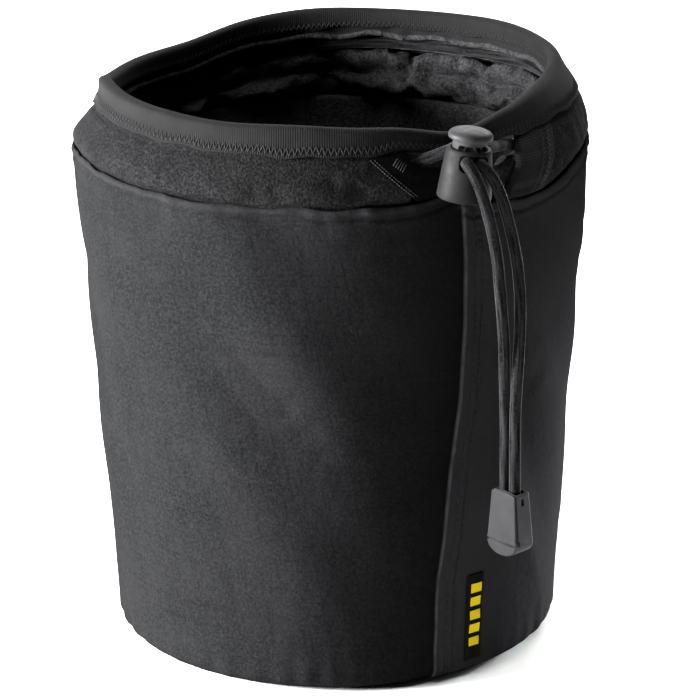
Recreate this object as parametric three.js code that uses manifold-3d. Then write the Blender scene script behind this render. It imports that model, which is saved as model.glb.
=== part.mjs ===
// Slip-on lens cover: a round padded pouch, open at the top, with a drawcord in its collar.
// Millimetres, +Z up. The origin is the middle of the flat base, and the cord lock faces -Y.
import * as THREE from 'three';
import { mergeVertices } from 'three/addons/utils/BufferGeometryUtils.js';
import Module from 'manifold-3d';

const wasm = await Module();
wasm.setup();

// Overall shape of the pouch
const clearance = 0.3;
const baseRadius = 72.4;
const bodyBottomRadius = 78.5;
const cornerHeight = 6;
const hemRadius = 90;
const hemHeight = 179;
const collarRise = 25.3;
const facets = 48;
const rimHeight = hemHeight + collarRise;

// Slouch of the soft rim: how far it sags or rises, leans in or out, and dips behind the lock
const slouchStart = 0.84 * hemHeight;
const backSag = 7.2;
const rearSag = 2.5;
const sideRise = 2.1;
const frontSag = 1.1;
const lockDipDepth = 5.8;
const lockDipReach = 12;
const rightFullness = 3.5;
const rightLean = 5.6;

// Layers of the wall and of the base
const shellThickness = 1.0;
const paddingThickness = 3.0;
const liningThickness = 1.5;
const basePanelThickness = 1.0;
const stiffenerThickness = 1.5;
const basePaddingThickness = 3.0;
const baseLiningThickness = 1.2;

// Lap seam of the side panel, with the raised edge of the upper layer
const seamAngle = 0.5;
const lapWidth = 7;
const lapThickness = 0.8;
const hemRise = 3.2;
const hemSag = 5.2;

// Collar: padded band, channel facing and the binding folded over the rim
const collarBulge = 0.4;
const collarDrawIn = 10.5;
const collarTopRadius = hemRadius - collarDrawIn;
const bandThickness = 3.0;
const bandEdgeThickness = 1.2;
const bandTuck = 8.5;
const bandLip = 1.6;
const facingThickness = 1.0;
const facingRoll = 1.8;
const facingDepth = 11.1;
const bindingThickness = 0.9;
const bindingDepth = 9.4;
const bindingInnerDepth = 6.9;
const mouthRise = 1.5;
const gapLeftAngle = -10;
const gapRightAngle = 15.4;
const gapSlant = 0.5;
const rollDrop = 16.4;
const rollFullness = 9.3;
const rollDepth = 18.5;
const rollWave = 1.8;
const rollRound = 5.0;

// Tapes that finish the two ends of the band: the left one runs on as a low flap, and has the bar tack.
const tapeThickness = 0.7;
const tapeWidth = 18;
const flapSeamAngle = -8.2;
const flapSeamSlant = 0.736;
const flapReach = 8;
const flapHeight = 10.5;
const flapShoulder = 1.5;
const tackThreads = 5;
const threadDiameter = 0.5;
const threadLength = 3.0;
const tackPitch = 0.47;
const tackInset = 0.6;
const tackAngle = -3.56;

// Cord
const cordDiameter = 4;
const cordSides = 8;
const channelDepth = 14.0;
const channelEntryLeft = -10.8;
const channelEntryRight = 23.5;

// Label sewn to the wall beside the seam
const labelWidth = 7;
const labelHeight = 32.8;
const labelBottom = 5.9;
const labelAngle = 8.95;
const labelThickness = 0.6;

// Cord lock, in its own frame: the slot's middle is the origin and -Y is its front
const lockSide = -2.0;
const lockStandoff = 11.3;
const lockDrop = 7.4;
const lockTurn = -14;
const lockLean = 6.5;
const barrelBottomRadius = 9.1;
const barrelTopRadius = 7.5;
const barrelBelow = 13.8;
const barrelAbove = 3.6;
const barrelWall = 1.5;
const barrelRound = 0.7;
const boreRadius = 6.0;
const slotWidth = 9.6;
const slotAbove = 2.4;
const slotBelow = 3.1;
const cordSpacing = 4.6;
const pressTravel = 2.8;
const stemFoot = 2.0;
const stemSlotMargin = 0.4;
const headRadius = 7.4;
const headEdge = 1.6;
const headDome = 2.2;
const headGap = 3.0;
const springRadius = 3.4;
const springWire = 0.9;
const springTurns = 3.5;
const curlSteps = 8;
const curlSides = 5;

// Cord end, in its own frame: the top's middle is the origin and -Y is the lid's side
const endSide = 11.2;
const endStandoff = 8.7;
const endDrop = 115.7;
const endTurn = -74.5;
const endTopWidth = 11;
const endBottomWidth = 13.7;
const endTopDepth = 6.9;
const endBottomDepth = 9.0;
const endShoulder = 18.6;
const endHeight = 23;
const endWall = 0.9;
const lidThickness = 1.2;
const hingeHeight = 17.6;
const hingeRadius = 0.8;
const cavityDepth = 15.5;
const catchDrop = 3.5;
const catchWidth = 1.2;
const catchHeight = 2.4;
const tipSpacing = 4.6;
const endCordOffset = 0.15;
const strandSeat = 1.5;
const tipLength = 12;
const tipBulbRadius = 2.15;
const tipBulbLength = 5;

// Routes of the cord outside the channel, counted from the lock's place
const linkLeftRoute = [
  [-12.7, 22.1, -6.6], [-10.3, 21.5, -6.3], [-7.8, 19.8, -5.1], [-5.4, 16.6, -3.5],
  [-2.7, 13.7, -1.7], [-0.5, 11.2, -0.2], [-0.1, 8.9, 0.3], [-1.3, 4, 0.3], [-3.1, -3.2, 0.3],
];
const linkRightRoute = [
  [33.5, 27.3, -7.5], [30.2, 25.8, -6.7], [26.6, 23.3, -5.6], [23.5, 20.6, -4.8], [19.8, 17.7, -3.8],
  [16.4, 14.5, -2.7], [12.5, 11.3, -1.7], [8.5, 9.1, -0.9], [5.4, 7.9, -0.4], [3.9, 5.9, -0.3], [1.3, -4.4, -0.3],
];
const strandLeftRoute = [
  [-3.3, -4, 0.3], [-4.2, -7.2, -0.1], [-3.9, -9.8, -1.9], [-2.8, -11.2, -5.1],
  [-0.8, -11.8, -11.3], [2.1, -11.9, -21.8], [4.1, -11.9, -31.8], [5.6, -11.5, -44.3],
  [6.9, -10.7, -53.9], [8.3, -9.6, -65.9], [9.2, -8.3, -75.9], [10.3, -6.9, -86.9],
  [10.6, -6.6, -96.9], [10.6, -6.6, -106.9], [10.6, -6.6, -117.2],
];
const strandRightRoute = [
  [1.1, -5.2, -0.3], [0.4, -8.2, -0.7], [1.3, -10.5, -2.2], [2.9, -11.7, -5.3], [5, -12.1, -10.5],
  [8.6, -12.2, -21.9], [11.5, -12.2, -34.9], [12.8, -12, -46.9], [13, -11.8, -56.9],
  [12.5, -11.6, -69.3], [11.8, -11.2, -84.6], [11.7, -11, -96.9], [11.8, -10.85, -106.9],
  [11.8, -10.8, -117.2],
];

const toRadians = THREE.MathUtils.degToRad;
const cordRadius = cordDiameter / 2;
const lockPlace = [lockSide, -hemRadius - lockStandoff, rimHeight - lockDrop];
const endPlace = [lockSide + endSide, lockPlace[1] - endStandoff, lockPlace[2] - endDrop];

// Shape helpers
function wrapped(angle) {
  return THREE.MathUtils.euclideanModulo(angle + 180, 360) - 180;
}

function bell(angle, middle, width) {
  return Math.exp(-((wrapped(angle - middle) / width) ** 2));
}

function ease(value, from, to) {
  return THREE.MathUtils.smoothstep(value, from, to);
}

// The soft rim isn't level: it sags at the back left and a little beside the lock.
function rimLift(angle) {
  const sag = backSag * Math.exp(-((wrapped(angle + 146.5) / 30) ** 4)) + rearSag * bell(angle, 178, 25);
  return sideRise * bell(angle, 88, 20) - frontSag * bell(angle, 26, 9) - sag;
}

// Behind the lock the rim is pressed down.
function lockDip(angle, height) {
  return lockDipDepth * bell(angle, 5, 13) * ease(height, rimHeight - lockDipReach, rimHeight);
}

// On the right the collar is full at its side and leans in at its crest.
function rimPull(angle, height) {
  const share = (height - hemHeight) / collarRise;
  const full = rightFullness * bell(angle, 59, 20) * ease(share, 0.2, 0.53);
  return full - rightLean * bell(angle, 52, 20) * ease(share, 0.73, 1.04);
}

// A point of a ring: the slouch of the rim fades out down the wall.
function ringPoint(angle, radius, height) {
  const share = ease(height, slouchStart, rimHeight - bindingDepth);
  const reach = radius + rimPull(angle, height);
  const turn = toRadians(angle);
  const level = height + share * rimLift(angle) - lockDip(angle, height);
  return [reach * Math.sin(turn), -reach * Math.cos(turn), level];
}

function signedVolume(geometry) {
  const place = geometry.getAttribute('position');
  const index = geometry.getIndex();
  const a = new THREE.Vector3();
  const b = new THREE.Vector3();
  const c = new THREE.Vector3();
  let volume = 0;
  for (let i = 0; i < index.count; i += 3) {
    a.fromBufferAttribute(place, index.getX(i));
    b.fromBufferAttribute(place, index.getX(i + 1));
    c.fromBufferAttribute(place, index.getX(i + 2));
    volume += a.dot(b.cross(c)) / 6;
  }
  return volume;
}

// Shared vertices are merged, and the faces are turned outwards.
function closed(geometry) {
  const bare = geometry.clone();
  bare.deleteAttribute('normal');
  bare.deleteAttribute('uv');
  const merged = mergeVertices(bare, 1e-4);
  if (signedVolume(merged) < 0) {
    const order = merged.getIndex().array;
    for (let i = 0; i < order.length; i += 3) [order[i], order[i + 1]] = [order[i + 1], order[i]];
  }
  return merged;
}

function fromTriangles(points, triangles) {
  const geometry = new THREE.BufferGeometry();
  geometry.setAttribute('position', new THREE.Float32BufferAttribute(points.flat(), 3));
  geometry.setIndex(triangles.flat());
  return closed(geometry);
}

function solid(geometry) {
  const shape = closed(geometry);
  const vertProperties = new Float32Array(shape.getAttribute('position').array);
  const triVerts = new Uint32Array(shape.getIndex().array);
  return new wasm.Manifold(new wasm.Mesh({ numProp: 3, vertProperties, triVerts }));
}

function geometryOf(manifold) {
  const mesh = manifold.getMesh();
  const geometry = new THREE.BufferGeometry();
  geometry.setAttribute('position', new THREE.BufferAttribute(new Float32Array(mesh.vertProperties), 3));
  geometry.setIndex(new THREE.BufferAttribute(new Uint32Array(mesh.triVerts), 1));
  return geometry;
}

// A ring whose section may change with the angle. The section is a closed outline of [radius, height],
// and a ring that ends may have ends that slant.
function ring(angles, section, whole = true, slanted = (angle) => angle) {
  const sections = angles.map((angle) => section(angle));
  const count = sections[0].length;
  const points = [];
  angles.forEach((angle, i) => {
    for (const [radius, height] of sections[i]) points.push(ringPoint(slanted(angle, height), radius, height));
  });
  const triangles = [];
  const spans = whole ? angles.length : angles.length - 1;
  for (let i = 0; i < spans; i++) {
    const here = i * count;
    const there = ((i + 1) % angles.length) * count;
    for (let j = 0; j < count; j++) {
      const k = (j + 1) % count;
      triangles.push([here + j, there + j, there + k], [here + j, there + k, here + k]);
    }
  }
  if (!whole) {
    for (const [end, flip] of [[0, true], [angles.length - 1, false]]) {
      const outline = sections[end].map(([radius, height]) => new THREE.Vector2(radius, height));
      const clockwise = THREE.ShapeUtils.isClockWise(outline);
      for (const [a, b, c] of THREE.ShapeUtils.triangulateShape(outline, [])) {
        const first = end * count;
        const turned = flip !== clockwise;
        triangles.push(turned ? [first + a, first + b, first + c] : [first + a, first + c, first + b]);
      }
    }
  }
  return fromTriangles(points, triangles);
}

function evenAngles(from, to) {
  const step = 360 / facets;
  const angles = [from];
  for (let angle = Math.ceil((from + 0.5) / step) * step; angle < to - 0.5; angle += step) angles.push(angle);
  if (to - from < 360) angles.push(to);
  return angles;
}

const fullCircle = evenAngles(-180, 180).concat(gapLeftAngle).sort((a, b) => a - b);
const bandAngles = evenAngles(gapRightAngle, 360 + gapLeftAngle);

// A tube along a route that is counted from the lock's place
function tube(route, diameter, sides, steps) {
  const start = new THREE.Vector3(...lockPlace);
  const points = route.map((point) => new THREE.Vector3(...point).add(start));
  const curve = new THREE.CatmullRomCurve3(points, false, 'centripetal');
  const section = new THREE.Shape();
  for (let i = 0; i < sides; i++) {
    const turn = (2 * Math.PI * (i + 0.5)) / sides;
    const x = (diameter / 2) * Math.cos(turn);
    const y = (diameter / 2) * Math.sin(turn);
    if (i === 0) section.moveTo(x, y);
    else section.lineTo(x, y);
  }
  return closed(new THREE.ExtrudeGeometry(section, { steps, extrudePath: curve }));
}

function prism(outline, depth) {
  const shape = new THREE.Shape(outline.map(([x, y]) => new THREE.Vector2(x, y)));
  const geometry = new THREE.ExtrudeGeometry(shape, { depth, bevelEnabled: false });
  return geometry.translate(0, 0, -depth / 2);
}

function box(width, depth, height, x, y, z) {
  return new THREE.BoxGeometry(width, depth, height).translate(x, y, z);
}

// A turned shape about the Z axis, from its outline of [radius, height]
function turned(outline, segments) {
  const points = outline.map(([radius, height]) => new THREE.Vector2(radius, height));
  return new THREE.LatheGeometry(points, segments).rotateX(Math.PI / 2);
}

const group = new THREE.Group();

function part(name, geometry, color, roughness, holder = group) {
  const material = new THREE.MeshStandardMaterial({ color, roughness, metalness: 0 });
  const mesh = new THREE.Mesh(geometry, material);
  mesh.name = name;
  holder.add(mesh);
  return mesh;
}

// Colours of the fabrics and plastics
const nylonGrey = 0x3c3d41;
const fleeceGrey = 0x3a3a3d;
const liningGrey = 0x55565a;
const tapeGrey = 0x4a4b4f;
const cordBlack = 0x17171a;
const plasticGrey = 0x6c6e72;
const endGrey = 0x85878b;
const foamWhite = 0xd8d6cf;
const threadGrey = 0x8f9094;
const springSteel = 0xa9abae;
const boardBlack = 0x2a2a2c;
const labelBlack = 0x141414;

// Wall of the body
function shellOuter(height) {
  const slope = (hemRadius - bodyBottomRadius) / (hemHeight - cornerHeight);
  return bodyBottomRadius + slope * (height - cornerHeight);
}

const shellInset = shellThickness + clearance;
const paddingInset = shellInset + paddingThickness + clearance;
const liningInset = paddingInset + liningThickness;
const wallLevels = [cornerHeight, 0.45 * hemHeight, slouchStart, 0.92 * hemHeight];

// The left end of the side panel stands higher at the seam than the right end.
function hemAt(angle) {
  if (wrapped(angle) <= seamAngle) return hemHeight + hemRise * bell(angle, seamAngle, 8);
  return hemHeight - hemSag * bell(angle, 20, 18);
}

function lapAt(angle) {
  const lapAngle = THREE.MathUtils.radToDeg(lapWidth / hemRadius);
  return angle > seamAngle && angle < seamAngle + lapAngle ? lapThickness : 0;
}

// The rounded foot of the wall runs from the base's edge up to the straight side.
function foot(inset) {
  const points = [];
  const edge = baseRadius + clearance;
  const steps = 4;
  for (let i = 0; i <= steps; i++) {
    const turn = (Math.PI / 2) * (i / steps);
    const radius = edge + (bodyBottomRadius - edge - inset) * Math.sin(turn);
    const height = cornerHeight - (cornerHeight - inset - clearance) * Math.cos(turn);
    points.push([radius, height]);
  }
  return points;
}

function shellSection(angle) {
  const lap = lapAt(angle);
  const outer = foot(0).map(([radius, height]) => [radius + lap * ease(height, 0, cornerHeight), height]);
  const upper = wallLevels.slice(1).concat(hemAt(angle));
  upper.forEach((height) => outer.push([shellOuter(height) + lap, height]));
  const inner = upper.reverse().map((height) => [shellOuter(height) - shellThickness, height]);
  return outer.concat(inner, foot(shellThickness).reverse());
}

const seamAngles = [seamAngle, seamAngle + 0.4];
const lapEnd = seamAngle + THREE.MathUtils.radToDeg(lapWidth / hemRadius);
const shellAngles = fullCircle
  .filter((angle) => angle < seamAngle - 0.6 || angle > lapEnd + 0.6)
  .concat(seamAngles, [lapEnd - 0.4, lapEnd])
  .sort((a, b) => a - b);
part('outer_shell', ring(shellAngles, shellSection), nylonGrey, 0.8);

const padBottom = basePanelThickness + stiffenerThickness + basePaddingThickness + 3 * clearance;
const bandBottom = hemHeight - bandTuck;

function wallSection(insetOuter, insetInner, top) {
  const levels = [padBottom, ...wallLevels.slice(1, 4), top];
  const outer = levels.map((height) => [shellOuter(height) - insetOuter, height]);
  const inner = levels.reverse().map((height) => [shellOuter(height) - insetInner, height]);
  return outer.concat(inner);
}

const paddingSection = () => wallSection(shellInset, shellInset + paddingThickness, bandBottom - clearance);
part('shell_padding', ring(fullCircle, paddingSection), foamWhite, 0.95);

// The lining of the wall, and the gathered, puffy roll that it ends in below the channel
const rollFoot = rimHeight - rollDrop - rollDepth;
const wallOuter = (height) => shellOuter(height) - paddingInset;
const wallInner = (height) => shellOuter(height) - liningInset;
const liningSection = () => wallSection(paddingInset, liningInset, rollFoot - clearance);
part('side_lining', ring(fullCircle, liningSection), liningGrey, 0.95);

function puff(angle) {
  const turn = toRadians(angle);
  const folds = Math.cos(9 * turn + 1.7 * Math.sin(2 * turn)) + 0.5 * Math.cos(16 * turn + 0.8);
  return 0.5 + folds / 3;
}

function rollSection(angle) {
  const fullness = rollFullness * (0.72 + 0.28 * puff(angle));
  const top = rimHeight - rollDrop - rollWave * (1 - puff(angle));
  const middle = top - rollRound;
  const back = wallOuter(middle);
  return [
    [wallOuter(rollFoot), rollFoot],
    [back, middle],
    [back - 0.2 * fullness, top - 0.32 * rollRound],
    [back - 0.5 * fullness, top],
    [back - 0.85 * fullness, top - 0.32 * rollRound],
    [back - fullness, middle],
    [back - 0.88 * fullness, middle - 0.8 * rollRound],
    [back - 0.5 * fullness, middle - 1.5 * rollRound],
    [wallInner(rollFoot), rollFoot],
  ];
}
part('lining_roll', ring(fullCircle, rollSection), liningGrey, 0.95);

// Base, from the floor up
function discAt(radius, thickness, bottom) {
  return closed(new THREE.CylinderGeometry(radius, radius, thickness, facets)
    .rotateX(Math.PI / 2)
    .translate(0, 0, bottom + thickness / 2));
}

function footInner(height) {
  const rise = 1 - (cornerHeight - height) / (cornerHeight - shellThickness - clearance);
  const edge = baseRadius + clearance;
  return edge + (bodyBottomRadius - edge - shellThickness) * Math.sqrt(Math.max(0, 1 - (1 - rise) ** 2));
}

const stiffenerBottom = basePanelThickness + clearance;
const basePaddingBottom = stiffenerBottom + stiffenerThickness + clearance;
const baseLiningBottom = basePaddingBottom + basePaddingThickness + clearance;
part('base_panel', discAt(baseRadius, basePanelThickness, 0), nylonGrey, 0.8);
part('base_stiffener', discAt(baseRadius, stiffenerThickness, stiffenerBottom), boardBlack, 0.6);
const basePaddingRadius = footInner(basePaddingBottom) - 2 * clearance;
part('base_padding', discAt(basePaddingRadius, basePaddingThickness, basePaddingBottom), foamWhite, 0.95);
const baseLiningRadius = shellOuter(baseLiningBottom) - liningInset - clearance;
part('base_lining', discAt(baseLiningRadius, baseLiningThickness, baseLiningBottom), liningGrey, 0.95);

// Collar band: outside it bulges over the hem and draws in towards the rim.
function bandOuter(height) {
  const share = (height - hemHeight) / (rimHeight - hemHeight);
  return collarTopRadius + (hemRadius - collarBulge - collarTopRadius) * (1 - ease(share, 0.12, 0.85));
}

function bandInner(height) {
  const share = (height - hemHeight) / (rimHeight - hemHeight);
  const padded = bandThickness - bandEdgeThickness;
  return bandOuter(height) - bandEdgeThickness - padded * (1 - ease(share, 0.26, 0.6));
}

const collarHeight = rimHeight - hemHeight;
const bandTop = rimHeight - bindingThickness - 2 * clearance - 0.4;
const levelAt = (share) => hemHeight + share * collarHeight;
const bandLevels = [0.2, 0.32, 0.42, 0.52, 0.62].map(levelAt);
const crestLevels = [0.7, 0.76, 0.82, 0.87].map(levelAt);
const bandShoulder = bandTop - 0.3;

// The right end of the band slants, and its neighbourhood turns with it.
const gapRightAt = (height) => gapRightAngle + gapSlant * (height - hemHeight);

function bandTurn(angle, height) {
  return angle + (gapRightAt(height) - gapRightAngle) * (1 - ease(angle, gapRightAngle, gapRightAngle + 24.6));
}

function bandSection(angle) {
  const hem = hemAt(angle);
  const tucked = (height) => shellOuter(height) - shellInset;
  const outer = [
    [tucked(bandBottom), bandBottom],
    [tucked(hem) - 0.1, hem + 2 * clearance],
    [bandOuter(hemHeight) - 0.1, hem + bandLip],
  ];
  const levels = bandLevels.concat(crestLevels);
  levels.forEach((height) => outer.push([bandOuter(height), height]));
  outer.push([bandOuter(bandTop), bandShoulder], [bandOuter(bandTop) - 0.5, bandTop]);
  const inner = [[bandInner(bandTop), bandShoulder]];
  levels.reverse().forEach((height) => inner.push([bandInner(height), height]));
  inner.push([bandInner(hemHeight), hemHeight], [tucked(bandBottom) - bandThickness, bandBottom]);
  return outer.concat(inner);
}
part('collar_band', ring(bandAngles, bandSection, false, bandTurn), fleeceGrey, 0.95);

// Channel facing: hangs inside the rim, with a rolled lower edge.
const facingOuter = collarTopRadius - bandEdgeThickness - clearance;
const facingTop = bandTop;
const facingBottom = rimHeight - facingDepth;
const facingLevels = crestLevels.filter((height) => height > facingBottom + 3).concat(bandShoulder);
const facingSection = () => [
  [facingOuter - 0.4, facingBottom],
  [facingOuter, facingBottom + 0.6],
  ...facingLevels.map((height) => [facingOuter, height]),
  [facingOuter - 0.2, facingTop],
  [facingOuter - facingThickness, facingTop],
  ...[...facingLevels].reverse().map((height) => [facingOuter - facingThickness, height]),
  [facingOuter - facingThickness, facingBottom + 2.6],
  [facingOuter - facingRoll, facingBottom + 1.6],
  [facingOuter - facingRoll, facingBottom + 0.6],
  [facingOuter - facingRoll + 0.5, facingBottom],
];
part('collar_facing', ring(fullCircle, facingSection), tapeGrey, 0.9);

// Binding: a folded tape over the band's edge and the facing's edge.
const bindingInner = facingOuter - facingThickness - clearance;

function bindingSection(angle) {
  const low = rimHeight - bindingDepth + mouthRise * bell(angle, gapLeftAngle + 1, 6);
  const levels = [low, ...crestLevels];
  const outer = levels.map((height) => [bandOuter(height) + clearance + bindingThickness, height]);
  const crestOuter = bandOuter(bandTop) + clearance;
  const crest = [
    [crestOuter + bindingThickness, bandShoulder],
    [crestOuter + 0.1, rimHeight - 0.7],
    [(crestOuter + bindingInner) / 2, rimHeight],
    [bindingInner - 0.1, rimHeight - 0.6],
  ];
  const leaf = crestLevels.filter((height) => height > rimHeight - bindingInnerDepth + 0.4).concat(bandShoulder);
  const inside = [
    ...[...leaf].reverse().map((height) => [bindingInner - bindingThickness, height]),
    [bindingInner - bindingThickness, rimHeight - bindingInnerDepth],
    [bindingInner, rimHeight - bindingInnerDepth],
    ...leaf.map((height) => [bindingInner, height]),
    [bindingInner + 0.5, rimHeight - bindingThickness - 0.4],
    [crestOuter - 0.4, rimHeight - bindingThickness - 0.4],
    [crestOuter, bandShoulder],
  ];
  const under = levels.reverse().map((height) => [bandOuter(height) + clearance, height]);
  return outer.concat(crest, inside, under);
}
part('rim_binding', ring(fullCircle, bindingSection), tapeGrey, 0.9);

// Drawcord inside the channel, all the way round from one end of the band to the other
const channelRadius = facingOuter + clearance + cordRadius + 0.1;
const channelHeight = rimHeight - channelDepth;
const channelAngles = evenAngles(channelEntryRight, 360 + channelEntryLeft);

function cordSection() {
  const outline = [];
  for (let i = 0; i < cordSides; i++) {
    const turn = (2 * Math.PI * (i + 0.5)) / cordSides;
    outline.push([channelRadius + cordRadius * Math.cos(turn), channelHeight + cordRadius * Math.sin(turn)]);
  }
  return outline;
}
part('drawcord', ring(channelAngles, cordSection, false), cordBlack, 0.6);

part('link_left', tube(linkLeftRoute, cordDiameter, cordSides, 16), cordBlack, 0.6);
part('link_right', tube(linkRightRoute, cordDiameter, cordSides, 16), cordBlack, 0.6);

// A curved patch that lies on a ring: its angles and its two faces follow the height, and its foot may rise.
function patch(levels, anglesAt, inner, outer, columns, footAt = () => 0) {
  const points = [];
  for (const face of [inner, outer]) {
    for (const height of levels) {
      const [from, to] = anglesAt(height);
      for (let i = 0; i <= columns; i++) {
        const angle = from + ((to - from) * i) / columns;
        const level = Math.max(height, footAt(angle));
        points.push(ringPoint(angle, face(level), level));
      }
    }
  }
  const row = columns + 1;
  const layer = row * levels.length;
  const at = (face, level, column) => face * layer + level * row + column;
  const triangles = [];
  const quad = (a, b, c, d) => triangles.push([a, b, c], [a, c, d]);
  for (let j = 0; j < levels.length - 1; j++) {
    for (let i = 0; i < columns; i++) {
      quad(at(1, j, i), at(1, j, i + 1), at(1, j + 1, i + 1), at(1, j + 1, i));
      quad(at(0, j, i + 1), at(0, j, i), at(0, j + 1, i), at(0, j + 1, i + 1));
    }
    quad(at(0, j, 0), at(1, j, 0), at(1, j + 1, 0), at(0, j + 1, 0));
    quad(at(1, j, columns), at(0, j, columns), at(0, j + 1, columns), at(1, j + 1, columns));
  }
  const last = levels.length - 1;
  for (let i = 0; i < columns; i++) {
    quad(at(0, 0, i), at(0, 0, i + 1), at(1, 0, i + 1), at(1, 0, i));
    quad(at(1, last, i), at(1, last, i + 1), at(0, last, i + 1), at(0, last, i));
  }
  return fromTriangles(points, triangles);
}

// Tapes: a face on the band's outside and a turn over the band's end
const tapeTop = rimHeight - bindingDepth - clearance;
const tapeBottomAt = (angle) => hemAt(angle) + bandLip + clearance;
const tapeIn = (height) => bandOuter(height) + clearance;
const tapeOut = (height) => tapeIn(height) + tapeThickness;
const wrapAngle = THREE.MathUtils.radToDeg((clearance + tapeThickness) / hemRadius);
const wrapGap = THREE.MathUtils.radToDeg(clearance / hemRadius);

function tape(levels, faceAngles, endAt, side) {
  const turn = (height) => [endAt(height) - side * wrapAngle, endAt(height) - side * wrapGap].sort((a, b) => a - b);
  const overHem = (angle) => hemAt(angle) + 2 * clearance;
  const flat = patch(levels, faceAngles, tapeIn, tapeOut, 4, overHem);
  const end = patch(levels, turn, (height) => bandInner(height), tapeOut, 1);
  return geometryOf(solid(flat).add(solid(end)));
}

// Below its shoulder the left tape runs on to the right as a flap. Its other edge is a slanted seam.
const flapTop = hemHeight + flapHeight;
const leftEdgeAt = (height) => {
  const share = THREE.MathUtils.clamp((flapTop + flapShoulder - height) / flapShoulder, 0, 1);
  return gapLeftAngle + wrapAngle + (flapReach - wrapAngle) * share;
};
const flapSeamAt = (height) => flapSeamAngle - flapSeamSlant * (height - hemHeight);
const leftLevels = [tapeBottomAt(gapLeftAngle), ...bandLevels.slice(0, 2), flapTop, flapTop + flapShoulder]
  .concat(bandLevels[3], tapeTop);
part('channel_tape_left', tape(
  leftLevels,
  (height) => [flapSeamAt(height), leftEdgeAt(height)],
  () => gapLeftAngle,
  -1,
), tapeGrey, 0.9);

const rightLevels = [tapeBottomAt(gapRightAngle), ...bandLevels.slice(0, 4), tapeTop];
part('channel_tape_right', tape(
  rightLevels,
  (height) => {
    const edge = gapRightAt(height);
    return [edge - wrapAngle, edge + THREE.MathUtils.radToDeg(tapeWidth / bandOuter(height))];
  },
  gapRightAt,
  1,
), tapeGrey, 0.9);

// Bar tack: one zigzag thread on the left tape, near the mouth of the channel
function threadBetween(low, high) {
  const from = new THREE.Vector3(...low);
  const along = new THREE.Vector3(...high).sub(from);
  const length = along.length() + threadDiameter / 2;
  const thread = new THREE.CylinderGeometry(threadDiameter / 2, threadDiameter / 2, length, 4);
  const upright = new THREE.Vector3(0, 1, 0);
  thread.applyQuaternion(new THREE.Quaternion().setFromUnitVectors(upright, along.clone().normalize()));
  const middle = from.addScaledVector(along, 0.5);
  return solid(thread.translate(middle.x, middle.y, middle.z));
}

function tack() {
  const slant = threadLength / Math.SQRT2;
  const spread = THREE.MathUtils.radToDeg(slant / hemRadius);
  const lift = clearance + threadDiameter / 2;
  const corners = [];
  for (let i = 0; i < tackThreads; i++) {
    const height = tapeTop - tackInset - tackPitch * i;
    const angle = gapLeftAngle + tackAngle + THREE.MathUtils.radToDeg((1.5 * tackPitch * i) / hemRadius);
    corners.push(ringPoint(angle, tapeOut(height - slant) + lift, height - slant));
    corners.push(ringPoint(angle + spread, tapeOut(height) + lift, height));
  }
  let thread = threadBetween(corners[0], corners[1]);
  for (let i = 1; i < corners.length - 1; i++) thread = thread.add(threadBetween(corners[i], corners[i + 1]));
  return geometryOf(thread);
}
part('bartack_left', tack(), threadGrey, 0.8);

// Label
const labelReach = THREE.MathUtils.radToDeg(labelWidth / 2 / shellOuter(labelBottom));
part('woven_label', patch(
  [labelBottom, labelBottom + labelHeight],
  () => [labelAngle - labelReach, labelAngle + labelReach],
  (height) => shellOuter(height) + clearance,
  (height) => shellOuter(height) + clearance + labelThickness,
  3,
), labelBlack, 0.8);

// Cord lock
const lock = new THREE.Group();
lock.position.set(...lockPlace);
lock.rotation.set(0, toRadians(lockLean), toRadians(lockTurn), 'ZYX');
group.add(lock);

const barrelOutline = [
  [0, -barrelBelow],
  [barrelBottomRadius - barrelRound, -barrelBelow],
  [barrelBottomRadius, barrelRound - barrelBelow],
  [barrelTopRadius, barrelAbove - barrelRound / 2],
  [barrelTopRadius - barrelRound / 2, barrelAbove],
  [boreRadius, barrelAbove],
  [boreRadius, barrelWall - barrelBelow],
  [0, barrelWall - barrelBelow],
];
const lockSegments = 28;
const slotHeight = slotAbove + slotBelow;
const slotCut = box(slotWidth, 3 * barrelBottomRadius, slotHeight, 0, 0, (slotAbove - slotBelow) / 2);
const barrel = solid(turned(barrelOutline, lockSegments)).subtract(solid(slotCut));
part('lock_barrel', geometryOf(barrel), plasticGrey, 0.45, lock);

const stemRadius = boreRadius - clearance;
const stemSlotBottom = -cordRadius - clearance;
const stemSlotTop = cordRadius + clearance + pressTravel;
const stemBottom = stemSlotBottom - stemFoot;
const headBottom = barrelAbove + headGap;
const plungerOutline = [
  [0, stemBottom],
  [stemRadius, stemBottom],
  [stemRadius, headBottom],
  [headRadius - 0.2, headBottom],
  [headRadius, headBottom + 0.2],
  [headRadius, headBottom + headEdge],
  [0.8 * headRadius, headBottom + headEdge + 0.5 * headDome],
  [0.45 * headRadius, headBottom + headEdge + 0.88 * headDome],
  [0, headBottom + headEdge + headDome],
];
const stemSlotWidth = cordSpacing + cordDiameter + 2 * stemSlotMargin;
const stemSlot = box(
  stemSlotWidth, 3 * stemRadius, stemSlotTop - stemSlotBottom,
  0, 0, (stemSlotTop + stemSlotBottom) / 2,
);
const plunger = solid(turned(plungerOutline, lockSegments)).subtract(solid(stemSlot));
part('lock_plunger', geometryOf(plunger), plasticGrey, 0.4, lock);

// Spring under the stem, one unbroken tube
const springTop = stemBottom - clearance - springWire / 2;
const springBottom = barrelWall - barrelBelow + clearance + springWire / 2;

function springPoint(share) {
  const turn = 2 * Math.PI * springTurns * share;
  const height = springBottom + (springTop - springBottom) * share;
  return new THREE.Vector3(springRadius * Math.cos(turn), springRadius * Math.sin(turn), height);
}

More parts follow.
